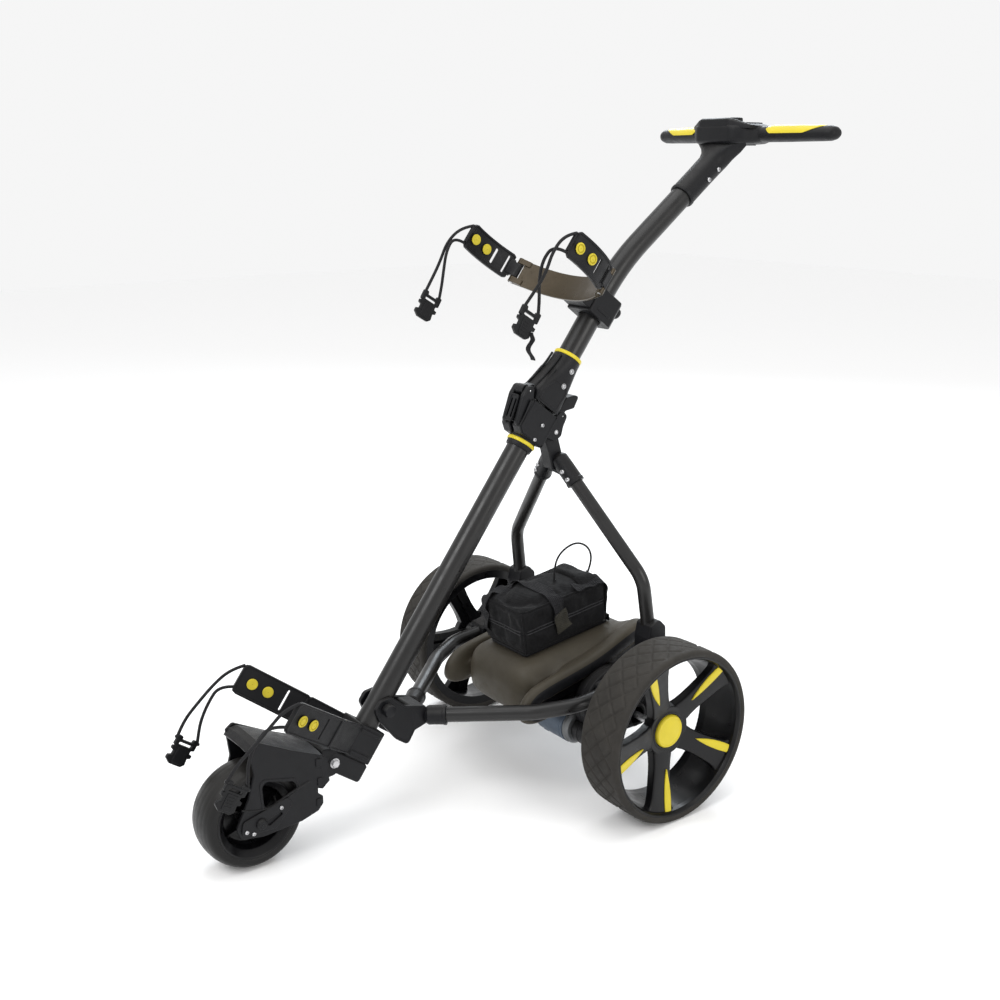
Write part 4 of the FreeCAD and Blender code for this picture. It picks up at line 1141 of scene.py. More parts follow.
# ---------------------------------------------------------------- fork and lower support
def fork():
    """The mudguard fork: thin cheeks, an arched roof over the wheel and the tube's socket."""
    outline = [(-616, 203, 4), (-604, 212, 6), (-548, 182, 10), (-506, 163, 8), (-500, 122, 4),
               (-508, 112, 3), (-508, 99, 2), (-500, 92, 2), (-500, 80, 5), (-509, 70, 6), (-537, 62, 10),
               (-600, 58, 14), (-636, 64, 10), (-643, 82, 10), (-622, 124, 12), (-611, 160, 10)]
    window = rounded([(-600, 147, 9), (-549, 132, 7), (-541, 119, 6), (-597, 98, 9)], 6, 5)
    shape = side_plate(outline, 38, 43.5, bevel=1.2, holes=[window])
    frame_line = rounded([(-605, 152, 9), (-545, 137, 7), (-536, 118, 6), (-601, 91, 9)], 6, 5)
    inner = rounded([(-602.5, 149, 9), (-547, 134.5, 7), (-538.5, 118.5, 6), (-598.5, 95, 9)], 6, 5)
    shape.add(Shape().add(plate([frame_line, inner], 43, 44.4, 0.5), SIDE))
    ridge = [(-634, 112), (-598, 96), (-552, 117), (-522, 124)]
    shape.add(swept([Vector((43.6, y, z)) for y, z, _ in nurbs_points([(y, z, 0) for y, z in ridge])], 1.5,
                    8))
    for y, z in ((-505, 150), (-503, 118), (-506, 84)):
        tab = side_plate([(y - 6, z - 7), (y + 3, z - 6), (y + 3, z + 6), (y - 6, z + 7)], 40, 45.2, 2, 0.7)
        shape.add(tab)
    whole = both(shape)
    roof = [(-618, 199), (-611, 209), (-600, 211), (-570, 197), (-545, 184), (-520, 172), (-500, 165),
            (-490, 152), (-488, 118)]
    under = [(-612, 188), (-606, 195), (-598, 194), (-568, 177), (-545, 161), (-528, 144), (-516, 124),
             (-509, 108), (-500, 104)]
    rings = []
    for (yo, zo), (yi, zi) in zip(roof, under):
        ring = []
        for share in (-1, -0.94, -0.8, -0.4, 0, 0.4, 0.8, 0.94, 1):
            crown = 2.2 * (1 - share * share)
            ring.append((share * 42.8, yo, zo + crown - 2.6 + (0 if abs(share) < 0.9 else -1.4)))
        for share in (1, 0.8, 0.4, 0, -0.4, -0.8, -1):
            ring.append((share * 42.4, yi, zi + 2 * (1 - share * share)))
        rings.append(ring)
    whole.add(loft(rings))
    block_side = side_plate([(-50, -14, 6), (-44, -16, 6), (20, -16, 4), (23, -12, 4), (23, 12, 3),
                             (18, 15, 3), (-44, 15, 6), (-50, 10, 6)], -27, 27, 4, 2.2)
    whole.add(block_side, TUBE_IN_AXLE)
    neck = side_plate([(-492, 160, 6), (-466, 154, 8), (-464, 110, 8), (-492, 108, 4)], -26, 26, 6, 2.2)
    whole.add(neck)
    for x in (-12, 0, 12):
        rib = side_plate([(-486, 156), (-462, 150), (-462, 114), (-486, 112)], x - 1.5, x + 1.5, 4, 0.6)
        whole.add(rib)
    moulded("fork_casting", whole, AXLE, "chassis", ["front_fork"])

    lens = [(-637, 70, 7), (-634, 92, 8), (-560, 111, 5), (-553, 98, 6), (-580, 67, 8)]
    hole = rounded([(-600, 82), (-572, 92), (-570, 86), (-592, 74)], 3, 4)
    link = side_plate(lens, 43.6, 46.6, 5, 0.9, holes=[hole])
    bump = lathe([(45, 0.5), (45, 9), (49, 8.6), (52, 6), (52.6, 0.5)], 40)
    link.add(bump, shifted(0, -605, 82))
    sided("axle_adjuster", link, AXLE, "chassis", "black_plastic", ["axle_plates"], look="moulding")


def ribbed_arm(length, low, high, thick, slots=(), lip=3.2):
    """A flat arm along +X from 0 to length, between low and high: a web inside a raised border."""
    outline = rounded([(0, low, 3), (length - 6, low, 5), (length, low + 7, 5), (length, high - 7, 5),
                       (length - 6, high, 5), (0, high, 3)], 4, 5)
    inner = rounded([(lip, low + lip, 2), (length - 7, low + lip, 4), (length - lip, low + 8, 4),
                     (length - lip, high - 8, 4), (length - 7, high - lip, 4), (lip, high - lip, 2)], 3, 5)
    border = plate([outline, inner], -thick / 2, thick / 2, 0.9)
    web = plate([oblong(1, length - 1, low + 1, high - 1, 4, 4),
                 *slots], -thick / 2 + 1.5, thick / 2 - 1.5, 0.4)
    return border.add(web)


def stud_shape():
    """A rubber button, its face towards +X: a flange, a raised ring and a low dome."""
    face = rounded([(-5.4, 0.4, 0), (-5.4, 8.4, 1), (-3.6, 9, 0.6), (-3.4, 5, 0.4), (3.4, 5, 0.4),
                    (3.5, 9, 0.6), (4.6, 9, 0.8), (5.7, 8, 0.8), (5.6, 6.6, 0.4), (3.9, 6.2, 0.2),
                    (3.9, 5.2, 0.2), (5.3, 4.8, 0.6), (5.5, 0.4, 0)], 0.6, 3)
    return lathe(face, 48)


def lower_support():
    """The clamp on the tube's foot and its two straight arms, drawn in the tube's frame."""
    low, high = 18, 67
    knee, tip = Vector((52, -84, 0)), Vector((88, -194, 0))
    way = (tip - knee).normalized()
    start = Vector((20, -15, 0))
    whole = Shape()
    first = (knee - start).normalized()
    out = Vector((-first.y, first.x, 0))
    inner_arm = ribbed_arm((knee - start).length + 2, low, high, 7)
    whole.add(inner_arm, standing(first, out, start))
    out = Vector((-way.y, way.x, 0))
    slots = [slot_outline(34, low + 9, 34, high - 9, 1.8)]
    outer_arm = ribbed_arm((tip - knee).length, low, high, 7, slots)
    whole.add(outer_arm, standing(way, out, knee))
    whole.add(swept([knee + Vector((0, 0, low + 3)), knee + Vector((0, 0, high - 3))], 3.6, 16))
    arms = both(whole)
    block = [(-27, -30, 6), (27, -30, 6), (27, 24, 4), (-27, 24, 4)]
    arms.add(plate([rounded(block, 5, 5), circle(0, 0, 19.4, 48)], low - 3, high + 3, 2.0, 3))
    for z in (low + 6, high - 6):
        arms.add(plate([oblong(-28.6, 28.6, -24, 18, 3, 4),
                        circle(0, 0, 20, 48)], z - 3, z + 3, 1.0))
    moulded("bag_rest_lower", arms, TUBE, "chassis", ["lower_bag_support"])
    studs = Shape()
    middle = (low + high) / 2
    for along in (24, 52):
        studs.add(stud_shape(), aimed(tip - way * along + Vector((0, 0, middle)), out))
    made("rest_studs_lower", both(studs), TUBE, "chassis", "yellow_trim", ["lower_studs"],
         look="stud_rubber")


# ---------------------------------------------------------------- upper support
def arc_line(a, b, c, steps):
    """Points of the circle through three points of a plane, from the first to the last."""
    a, b, c = Vector(a), Vector(b), Vector(c)
    d = 2 * (a.x * (b.y - c.y) + b.x * (c.y - a.y) + c.x * (a.y - b.y))
    ux = (a.length_squared * (b.y - c.y) + b.length_squared * (c.y - a.y) + c.length_squared * (a.y - b.y)) / d
    uy = (a.length_squared * (c.x - b.x) + b.length_squared * (a.x - c.x) + c.length_squared * (b.x - a.x)) / d
    centre = Vector((ux, uy))
    first, last = a - centre, c - centre
    sweep = first.angle_signed(last)
    points = []
    for k in range(steps + 1):
        out = Matrix.Rotation(-sweep * k / steps, 2) @ first
        points.append((centre + out, out.normalized()))
    return points


HINGE = (113, 96)


def standing(way, out, at):
    """Takes (along, up, off) to the tube's frame: a plate standing on its edge."""
    return Matrix(((way.x, 0, out.x, at.x), (way.y, 0, out.y, at.y), (0, 1, 0, 0), (0, 0, 0, 1)))


def bent_strip(line, section):
    """A skin along an arc; section is closed (height, outwards) pairs, in the tube's frame."""
    rings = []
    for i, (at, out) in enumerate(line):
        ring = []
        for up, off in section(i / (len(line) - 1)):
            p = at + out * off
            ring.append((p.x, -p.y, up))
        rings.append(ring)
    return loft(rings)


def channel_section(low, high, thick, border, depth):
    """A C-shaped section: two thick borders joined by a sunk web."""
    half = thick / 2
    points = [(low, -half, 1), (low, half, 1.2), (low + border, half, 0.8),
              (low + border + 1, half - depth, 0.4), (high - border - 1, half - depth, 0.4),
              (high - border, half, 0.8), (high, half, 1.2), (high, -half, 1), (high - border, -half, 0.8),
              (high - border - 1, depth - half, 0.4), (low + border + 1, depth - half, 0.4),
              (low + border, -half, 0.8)]
    return rounded(points, 1, 2)


def pierce(obj, cuts):
    """Cuts shapes drawn in the tube's frame out of a piece."""
    cutter = bpy.data.objects.new("cuts", welded("cuts", cuts, TUBE))
    bpy.context.scene.collection.objects.link(cutter)
    modifier = obj.modifiers.new("slots", "BOOLEAN")
    modifier.object = cutter
    modifier.operation = "DIFFERENCE"
    modifier.solver = "EXACT"
    modifier.use_self = True
    settle(obj)
    bpy.data.objects.remove(cutter)
    obj.data.set_sharp_from_angle(angle=math.radians(SHARP))


def upper_support():
    """The clamp, the wide band, and the two hinged arms with their lips, slots and studs."""
    low, high = 822, 867
    band_line = arc_line((-106.5, 91), (0, 59.4), (106.5, 91), 40)

    def band_section(share):
        end = abs(2 * share - 1)
        trim = 5 * smooth_step((end - 0.93) / 0.07)
        return rounded([(low + trim, -2.5, 1.4), (low + trim, 2.5, 1.4), ((low + high) / 2, 3.2, 30),
                        (high - trim, 2.5, 1.4), (high - trim, -2.5, 1.4)], 1.4, 3)

    band = bent_strip(band_line, band_section)
    clamp = rounded([(-30, -32, 5), (30, -32, 5), (30, 22, 7), (20, 32, 7), (-20, 32, 7), (-30, 22, 7)],
                    6, 5)
    block = plate([clamp, circle(0, 0, 19.2, 48)], low + 2, high + 4, 2.4, 3)
    block.add(plate([rounded([(-28, -30, 3), (-26, -57, 4), (26, -57, 4), (28, -30, 3)], 4, 4)],
                    low + 6, high - 4, 1.6))
    rim = oblong(-31, 31, -20, 14, 3, 4)
    block.add(plate([rim, circle(0, 0, 19.6, 48)], low + 12, low + 16, 0.8))
    moulded("cradle_clamp_block", block, TUBE, "folding_frame")
    px, pf = HINGE
    for side in (-1, 1):
        for z0, z1 in ((low, low + 10), (high - 10, high)):
            eye = circle(side * px, -pf, 6.2, 28)
            if side > 0:
                link = [(95, -80), (px + 3, 5 - pf), (px - 2, -pf - 6), (95, -90)]
            else:
                link = [(-95, -90), (2 - px, -pf - 6), (-px - 3, 5 - pf), (-95, -80)]
            band.add(plate([eye, circle(side * px, -pf, 3.1, 20)], z0, z1, 0.7))
            band.add(plate([rounded(link, 1.5, 3)], z0 + 0.3, z1 - 0.3, 0.7))
    made("cradle_band_piece", band, TUBE, "folding_frame", "support_band", ["cradle_band"])

    line = arc_line((120, 106), (134, 152), (131, 201), 36)

    def arm_section(share):
        tip = smooth_step((share - 0.95) / 0.05)
        root = 1 - smooth_step(share / 0.05)
        trim = 5 * tip + 3 * root
        return channel_section(low + trim, high - trim, 7, 3.4, 1.6)

    arm = bent_strip(line, arm_section)
    for share in (0.0, 1.0):
        at = line[round(share * 36)][0]
        cap = swept([Vector((at.x, -at.y, low + 8)), Vector((at.x, -at.y, high - 8))], 3.4, 14)
        arm.add(cap)
    arm.add(plate([circle(px, -pf, 6.1, 28), circle(px, -pf, 3.1, 20)], low + 10.6, high - 10.6, 0.7))
    arm.add(plate([rounded([(px - 2, -pf - 5), (118, -114), (127, -110), (px + 4, 4 - pf)], 1.5, 3)],
                  low + 10.8, high - 10.8, 0.7))
    cuts = Shape()
    for share, width, up0, up1 in ((0.1, 1.7, low + 8, high - 8), (0.37, 2.6, low + 11, high - 11)):
        at, out = line[round(share * 36)]
        way = (line[round(share * 36) + 1][0] - at).normalized()
        way, out, at = (Vector((v.x, -v.y)) for v in (way, out, at))
        cuts.add(plate([slot_outline(0, up0, 0, up1, width, 6)], -9, 9, 0.2), standing(way, out, at))
    right, left = sided("cradle_arm_piece", arm, TUBE, "right_arm", "black_plastic", look="moulding")
    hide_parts("cradle_arm_right")
    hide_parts("cradle_arm_left")
    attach(left, "left_arm")
    pierce(right, cuts)
    pierce(left, Shape().add(cuts, MIRROR))

    studs = Shape()
    for forward, x in ((158, 134.2), (186, 133.0)):
        studs.add(stud_shape(), aimed((x, -forward, (low + high) / 2), (1, 0, 0)))
    right, left = sided("cradle_stud_pair", studs, TUBE, "right_arm", "yellow_trim", look="stud_rubber")
    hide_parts("cradle_studs_right")
    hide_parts("cradle_studs_left")
    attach(left, "left_arm")

    profile = [(33, 4), (33, 7.4), (35, 9.2), (38, 10.4), (42, 10.8), (46, 10.2), (49, 8), (50, 5),
               (50.2, 0.4)]
    stem = [[(r * c, up, r * s) for c, s, r in lobed(3, 6, 0)] for up in (22, 33)]
    knob = [[(r * c, up, r * s) for c, s, r in lobed(radius, 6, 0.06 if 36 < up < 48 else 0.02)]
            for up, radius in profile]
    moulded("clamp_knob_grip", Shape().add(loft(stem + knob), shifted(0, 0, 862)), TUBE, "knob",
            ["clamp_knob"])


fork()
lower_support()
upper_support()


# ---------------------------------------------------------------- knuckle
KNUCKLE = 24.0
UPRIGHT = turned("Y", -90)


def ring_at(up, low_profile):
    """A ring round the main tube; the profile is (up, radius) pairs."""
    return Shape().add(lathe(low_profile, 72, True), shifted(0, 0, up) @ UPRIGHT)


def inset_plate(points, x0, x1, border, depth, radius=4.0, bevel=1.4, holes=()):
    """A side plate with a raised border round a slightly sunk panel."""
    least = bevel * 1.3
    outline = rounded([(*p[:2], max(least, p[2] if len(p) > 2 else radius)) for p in points], radius, 5)
    middle = Vector((sum(p[0] for p in outline), sum(p[1] for p in outline))) / len(outline)
    inner = []
    count = len(outline)
    for i, p in enumerate(outline):
        a, b = Vector(outline[i - 1]), Vector(outline[(i + 1) % count])
        way = b - a
        normal = Vector((-way.y, way.x)).normalized() if way.length else Vector((0, 0))
        at = Vector(p)
        if (middle - at).dot(normal) < 0:
            normal = -normal
        inner.append(tuple(at + normal * border))
    shape = Shape().add(plate([outline] + list(holes), x0, x1 - depth, bevel), SIDE)
    shape.add(Shape().add(plate([outline, inner], x1 - depth - 2.4, x1, 0.7), SIDE))
    return shape


def knuckle():
    """Both halves of the folding joint, its latch, rings and pins."""
    fold, latch, hub = (-50, 658), (34, 658), (38, 630)
    half = inset_plate([(-38, 600, 6), (-25, 591, 4), (25, 591, 6), (25, 650, 3), (-38, 650, 2)], 4,
                       KNUCKLE, 3.4, 1.0, bevel=2.4)
    ear = side_plate([(-43, 600, 9), (-57, 645, 10), (-57, 665, 9), (-44, 668, 8), (-34, 650, 3),
                      (-30, 599, 3)], 10.8, KNUCKLE - 3, 5, 3.4)
    half.add(ear)
    rear = side_plate([(20, 612, 3), (44, 615, 7), (51, 630, 8), (45, 645, 4), (42, 664, 7), (27, 666, 7),
                       (22, 649, 3)], 14, 22.4, 3, 1.4, [circle(*hub, 4.2), circle(*latch, 2.2)])
    half.add(rear)
    lower = both(half)
    lower.add(ring_at(0, rounded([(574, 19.3, 0.4), (574, 21.6, 1.2), (578, 22.4, 1), (590, 22.6, 1),
                                  (596, 23.5, 0.5), (596, 19.3, 0.5)], 1, 3)))
    face = Matrix(((1, 0, 0, 0), (0, -0.2305, -0.9731, -47.5), (0, 0.9731, -0.2305, 601), (0, 0, 0, 1)))
    slots = [slot_outline(x, 8, x, 36, 1.9, 6) for x in (-5, 5)]
    cover = plate([rounded([(-10.4, 0, 4), (10.4, 0, 4), (10.4, 45, 6), (-10.4, 45, 6)], 5, 5), *slots],
                  -3.2, 0, 1)
    cover.add(plate([oblong(-10.4, 10.4, 0, 45, 5, 5),
                     oblong(-8.6, 8.6, 2, 43, 4, 5)], -0.6, 0.9, 0.4))
    cover.add(plate([oblong(-9.6, 9.6, 2, 43, 4, 5)], -9, -7, 0.5))
    lower.add(cover, face)
    moulded("knuckle_base", lower, TUBE, "chassis", ["knuckle_lower"])
    # A near-black sheet behind the cover's slots: painted shade inside them.
    dark = plate([oblong(-8, 8, 4, 41, 3, 4)], -5.4, -4.4, 0.2)
    made("knuckle_slot_shade", Shape().add(dark, face), TUBE, "chassis", "black_plastic", look="slot_shade")

    whole = Shape()
    rings = []
    for up, front, back, wide, power in ((653.4, -32, 24, 23.4, 7), (653.9, -33, 25, 24, 7),
                                         (668, -38.6, 25, 24, 6.4), (672, -39.6, 25, 24, 6),
                                         (690, -33.6, 24.6, 24, 4.6), (708, -28.6, 24.4, 24, 3.2),
                                         (724, -25.4, 24.2, 24, 2.4), (736, -24.3, 24, 24, 2.05),
                                         (744.6, -24, 24, 24, 2), (745.8, -23.2, 23.2, 23.2, 2)):
        rings.append([(wide * u, (front + back) / 2 + (back - front) / 2 * v, up)
                      for u, v in squircle(power, 72)])
    whole.add(loft(rings))
    ridge = [(-41, 664), (-39.5, 680), (-34, 692), (-32, 704), (-27, 722), (-25.2, 742)]
    for x in (-11, 11):
        whole.add(swept([Vector((x, y + 0.6, z))
                         for y, z, _ in nurbs_points([(y, z, 0) for y, z in ridge])], 2.0, 10))
    plate_line = [(-30, 657, 4), (14, 657, 4), (17, 690, 6), (12, 700, 8), (-18, 700, 10), (-30, 676, 8)]
    upper = both(inset_plate(plate_line, KNUCKLE - 4, KNUCKLE + 0.4, 2.6, 0.7, bevel=0.6)).add(whole)
    barrel = lathe(rounded([(-10, 4.2, 0.5), (-10, 9, 1), (10, 9, 1), (10, 4.2, 0.5)], 0.8, 3), 40, True)
    upper.add(barrel, shifted(0, *fold))
    upper.add(side_plate([(-50, 666.6, 1), (-38, 677, 3), (-29, 660, 2), (-33, 653.6, 2), (-45, 652.5, 1)],
                         -9.6, 9.6, 2, 1))
    upper.add(side_plate([(-36, 674, 3), (-25.6, 716, 3), (-23, 716, 2), (-30, 672, 2)], -20, 20, 2, 1))
    moulded("knuckle_head", upper, TUBE, "folding_frame", ["knuckle_upper"])

    lever = side_plate([(28.6, 657, 3), (33, 651.6, 4), (40, 656, 4), (41, 671, 5), (54, 683.6, 3),
                        (51, 705, 4), (42, 702, 4), (30, 690.5, 3), (28.6, 684, 2)], -13.4, 13.4, 3, 1.6)
    for up in (687, 692, 697):
        lever.add(swept([Vector((x, 51.4 + (687 - up) * 0.14, up)) for x in (-11, 0, 11)], 1.1, 8))
    moulded("latch_tab", lever, TUBE, "fold_latch", ["latch_lever"])

    low = [(582, 19.4, 0.3), (582, 23.7, 0.8), (583.4, 24.5, 0.8), (586.6, 24.5, 0.8), (588, 23.7, 0.8),
           (588, 19.4, 0.3)]
    made("ring_band_lower", ring_at(0, rounded(low, 0.8, 3)), TUBE, "chassis", "yellow_trim",
         ["lower_ring"])
    high = [(u + 164, r, c) for u, r, c in low]
    made("ring_band_upper", ring_at(0, rounded(high, 0.8, 3)), TUBE, "folding_frame", "yellow_trim",
         ["upper_ring"])

    pins = Shape()
    for (y, z), reach, radius in ((fold, 21.4, 4), (hub, 24, 4), (latch, 23, 2)):
        pins.add(lathe([(-reach, 0.2), (1 - reach, radius * 0.7), (2 - reach, radius), (reach - 2, radius),
                        (reach - 1, radius * 0.7), (reach, 0.2)], 32), shifted(0, y, z))
    made("knuckle_pin_set", pins, TUBE, "chassis", "steel", ["knuckle_pins"])


# ---------------------------------------------------------------- legs' yoke, carriers, bracket
LEG_HIP = Vector((44.5, -8, 509))
LEG_WAY = (Vector((170, 32, 366)) - LEG_HIP).normalized()


def leg_yoke():
    """The yoke behind the knuckle: a hinged tongue and two sockets with split, stepped ends."""
    tongue = side_plate([(28, 640, 5), (46, 642, 6), (55, 628, 8), (88, 603, 10), (95, 586, 8),
                         (78, 577, 6), (52, 598, 12), (30, 612, 8)], -12.4, 12.4, 5, 2.2,
                        [circle(38, 630, 4.2)])
    whole = Shape().add(tongue, TUBE_IN_AXLE)
    socket = rounded([(-56, 0.5, 0), (-56, 10, 3), (-50, 14.6, 4), (-30, 15, 2), (-6, 15, 1),
                      (-5, 15.8, 0.6), (0.6, 15.8, 0.8), (1, 11.7, 0.3), (-34, 11.7, 0)], 1, 3)
    near = Shape().add(lathe(socket, 48), aimed(LEG_HIP, LEG_WAY))
    web = loft([[p + Vector((0, dy, 0)) for p in (LEG_HIP - LEG_WAY * 50 + Vector((0, 0, 9)),
                                                   LEG_HIP - LEG_WAY * 18 + Vector((-6, 0, -6)),
                                                   Vector((0, LEG_HIP.y - LEG_WAY.y * 40, 522)),
                                                   Vector((0, LEG_HIP.y - LEG_WAY.y * 50, 556)))]
                for dy in (-6, 6)])
    near.add(web)
    whole.add(both(near))
    moulded("leg_yoke", whole, AXLE, "chassis", ["leg_hub"])


def carriers():
    """The castings at the axle: bearing boss, ribs, the side tube's socket and the leg's foot."""
    base = [(-56, 174, 5), (-30, 132, 6), (-18, 122, 8), (18, 122, 8), (46, 140, 10), (70, 176, 8),
            (70, 219, 2), (30, 219, 4), (-20, 207, 8), (-56, 201, 6)]
    foot = [(30, 217, 2), (28, 268, 4), (33, 291, 6), (52, 298, 9), (66, 284, 7), (70, 217, 2)]
    shape = side_plate(base, 155, 195, 5, 2.4, [circle(0, 145, 14.2, 32)])
    shape.add(side_plate(foot, 157, 193, 5, 2.4))
    shape.add(lathe(rounded([(152, 14.3, 0.4), (152, 19, 1.5), (160, 21, 2), (198, 21, 2), (200, 18, 1.5),
                             (200, 14.3, 0.4)], 1, 3), 48, True), shifted(0, 0, 145))
    for y0, z0, y1, z1 in ((-8, 168, -40, 190), (14, 164, 40, 205), (20, 150, 58, 178)):
        for x in (154.6, 195.4):
            shape.add(swept([Vector((x, y0, z0)), Vector((x, y1, z1))], 1.8, 8))
    sided("axle_casting", shape, AXLE, "chassis", "black_plastic", ["axle_carriers"], look="moulding")


def bracket():
    """The hinge bracket where the side tubes meet the main tube."""
    cheek = inset_plate([(-395, 196, 8), (-384, 210, 9), (-364, 212, 9), (-338, 190, 14), (-300, 180, 5),
                         (-300, 150, 5), (-322, 144, 6), (-336, 122, 7), (-358, 138, 9), (-387, 176, 10)],
                        20, 27, 3.2, 0.8, bevel=1.2)
    tail = Vector((28, -292, 162.5))
    way = (Vector((140, -168, 174)) - tail).normalized()
    socket = lathe(rounded([(-8, 0.5, 0), (-8, 12.5, 3), (-4, 15.6, 3), (20, 16, 1), (21, 16.7, 0.6),
                            (25.6, 16.7, 0.8), (26, 12.8, 0.3), (4, 12.6, 0)], 1, 3), 48)
    half = cheek.add(socket, aimed(tail, way))
    whole = both(half)
    whole.add(side_plate([(-330, 186, 5), (-300, 180, 5), (-296, 150, 5), (-322, 144, 5)],
                         -26.6, 26.6, 4, 2))
    moulded("hinge_bracket", whole, AXLE, "chassis", ["front_bracket"])
    profile = [(27, 6), (27, 9.6), (29, 10.8), (36, 10.8), (39, 9.4), (40, 6), (40.2, 0.4)]
    rings = [[(x, r * s, r * c) for c, s, r in lobed(radius, 5, 0.07 if 28 < x < 38 else 0.02)]
             for x, radius in profile]
    knobs = Shape().add(both(loft(rings)), shifted(0, 2, 106))
    knobs.add(lathe([(-31, 0.5), (-31, 5), (31, 5), (31, 0.5)], 24), shifted(0, 2, 106))
    moulded("pivot_knobs", knobs, TUBE, "chassis", ["pivot_bolt"])


def screws():
    """Every visible screw and bolt head of the frame."""
    chassis = Shape()
    for up in (624, 597):
        chassis.add(screw_head(3.4, 2.3, 1.6), TUBE_IN_AXLE @ shifted(KNUCKLE, 3, up))
    chassis.add(bolt_head(6.4, 5.6), TUBE_IN_AXLE @ shifted(27, -38, -2))
    for y, z in ((-629, 76), (-618, 70), (-572, 98)):
        chassis.add(screw_head(3.2, 2.2, 1.5), shifted(46.6, y, z))
    out = Vector((LEG_WAY.y, -LEG_WAY.x, 0)).normalized()
    for along in (-10, -26):
        chassis.add(screw_head(4, 2.8), aimed(LEG_HIP + LEG_WAY * along + out * 15.2, out))
    for y, z in ((47, 262), (49, 244)):
        chassis.add(screw_head(4.5, 2.8), shifted(193.2, y, z))
    made("frame_screw_set", both(chassis), AXLE, "chassis", "steel", ["frame_screws"])
    upper = Shape()
    for up in (726, 698):
        upper.add(screw_head(3.4, 2.3, 1.6), TUBE_IN_AXLE @ shifted(KNUCKLE, 3, up))
        upper.add(lathe([(-0.6, 3.8), (-0.6, 4.8), (0.5, 4.6), (0.6, 3.8)], 32, True),
                  TUBE_IN_AXLE @ shifted(KNUCKLE, 3, up))
    for y, z in ((298, 994), (320, 1011)):
        upper.add(screw_head(4, 2.3), shifted(22.2, y, z))
    hinge = lathe([(821, 0.4), (821.4, 2.6), (822.4, 3), (866.6, 3), (867.6, 2.6), (868, 0.4)], 24)
    upper.add(hinge, TUBE_IN_AXLE @ shifted(HINGE[0], -HINGE[1], 0) @ UPRIGHT)
    made("upper_screw_set", both(upper), AXLE, "folding_frame", "steel", ["upper_screws"])


# ---------------------------------------------------------------- handle
GRIP_Z = 1069.0


def grip_ring(share, grow=0.0, start=0.0, end=360.0, steps=40):
    """An oval slice of the grip, share of the way along it; part of the oval on request."""
    keys = ((0, 40, 377, 21, 14.5), (0.14, 62, 379, 18.6, 13.6), (0.3, 86, 383, 17.6, 13.4),
            (0.5, 118, 389, 17.6, 13.4), (0.68, 150, 396, 17.2, 13), (0.84, 178, 401.5, 16.6, 12.8),
            (0.92, 192, 404, 16, 12.4), (0.97, 199, 405, 13.8, 10.4), (0.99, 202.4, 405.6, 10.4, 7.6),
            (1.0, 204, 406, 4.5, 3.4))
    for low, high in zip(keys, keys[1:]):
        if share <= high[0]:
            break
    mix = (share - low[0]) / (high[0] - low[0])
    x, y, half_y, half_z = (low[i] + (high[i] - low[i]) * mix for i in range(1, 5))
    ring = []
    count = steps if end - start >= 360 else steps + 1
    for k in range(count):
        a = math.radians(start + (end - start) * k / steps)
        ring.append((x, y - math.cos(a) * (half_y + grow), GRIP_Z + math.sin(a) * (half_z + grow)))
    return ring


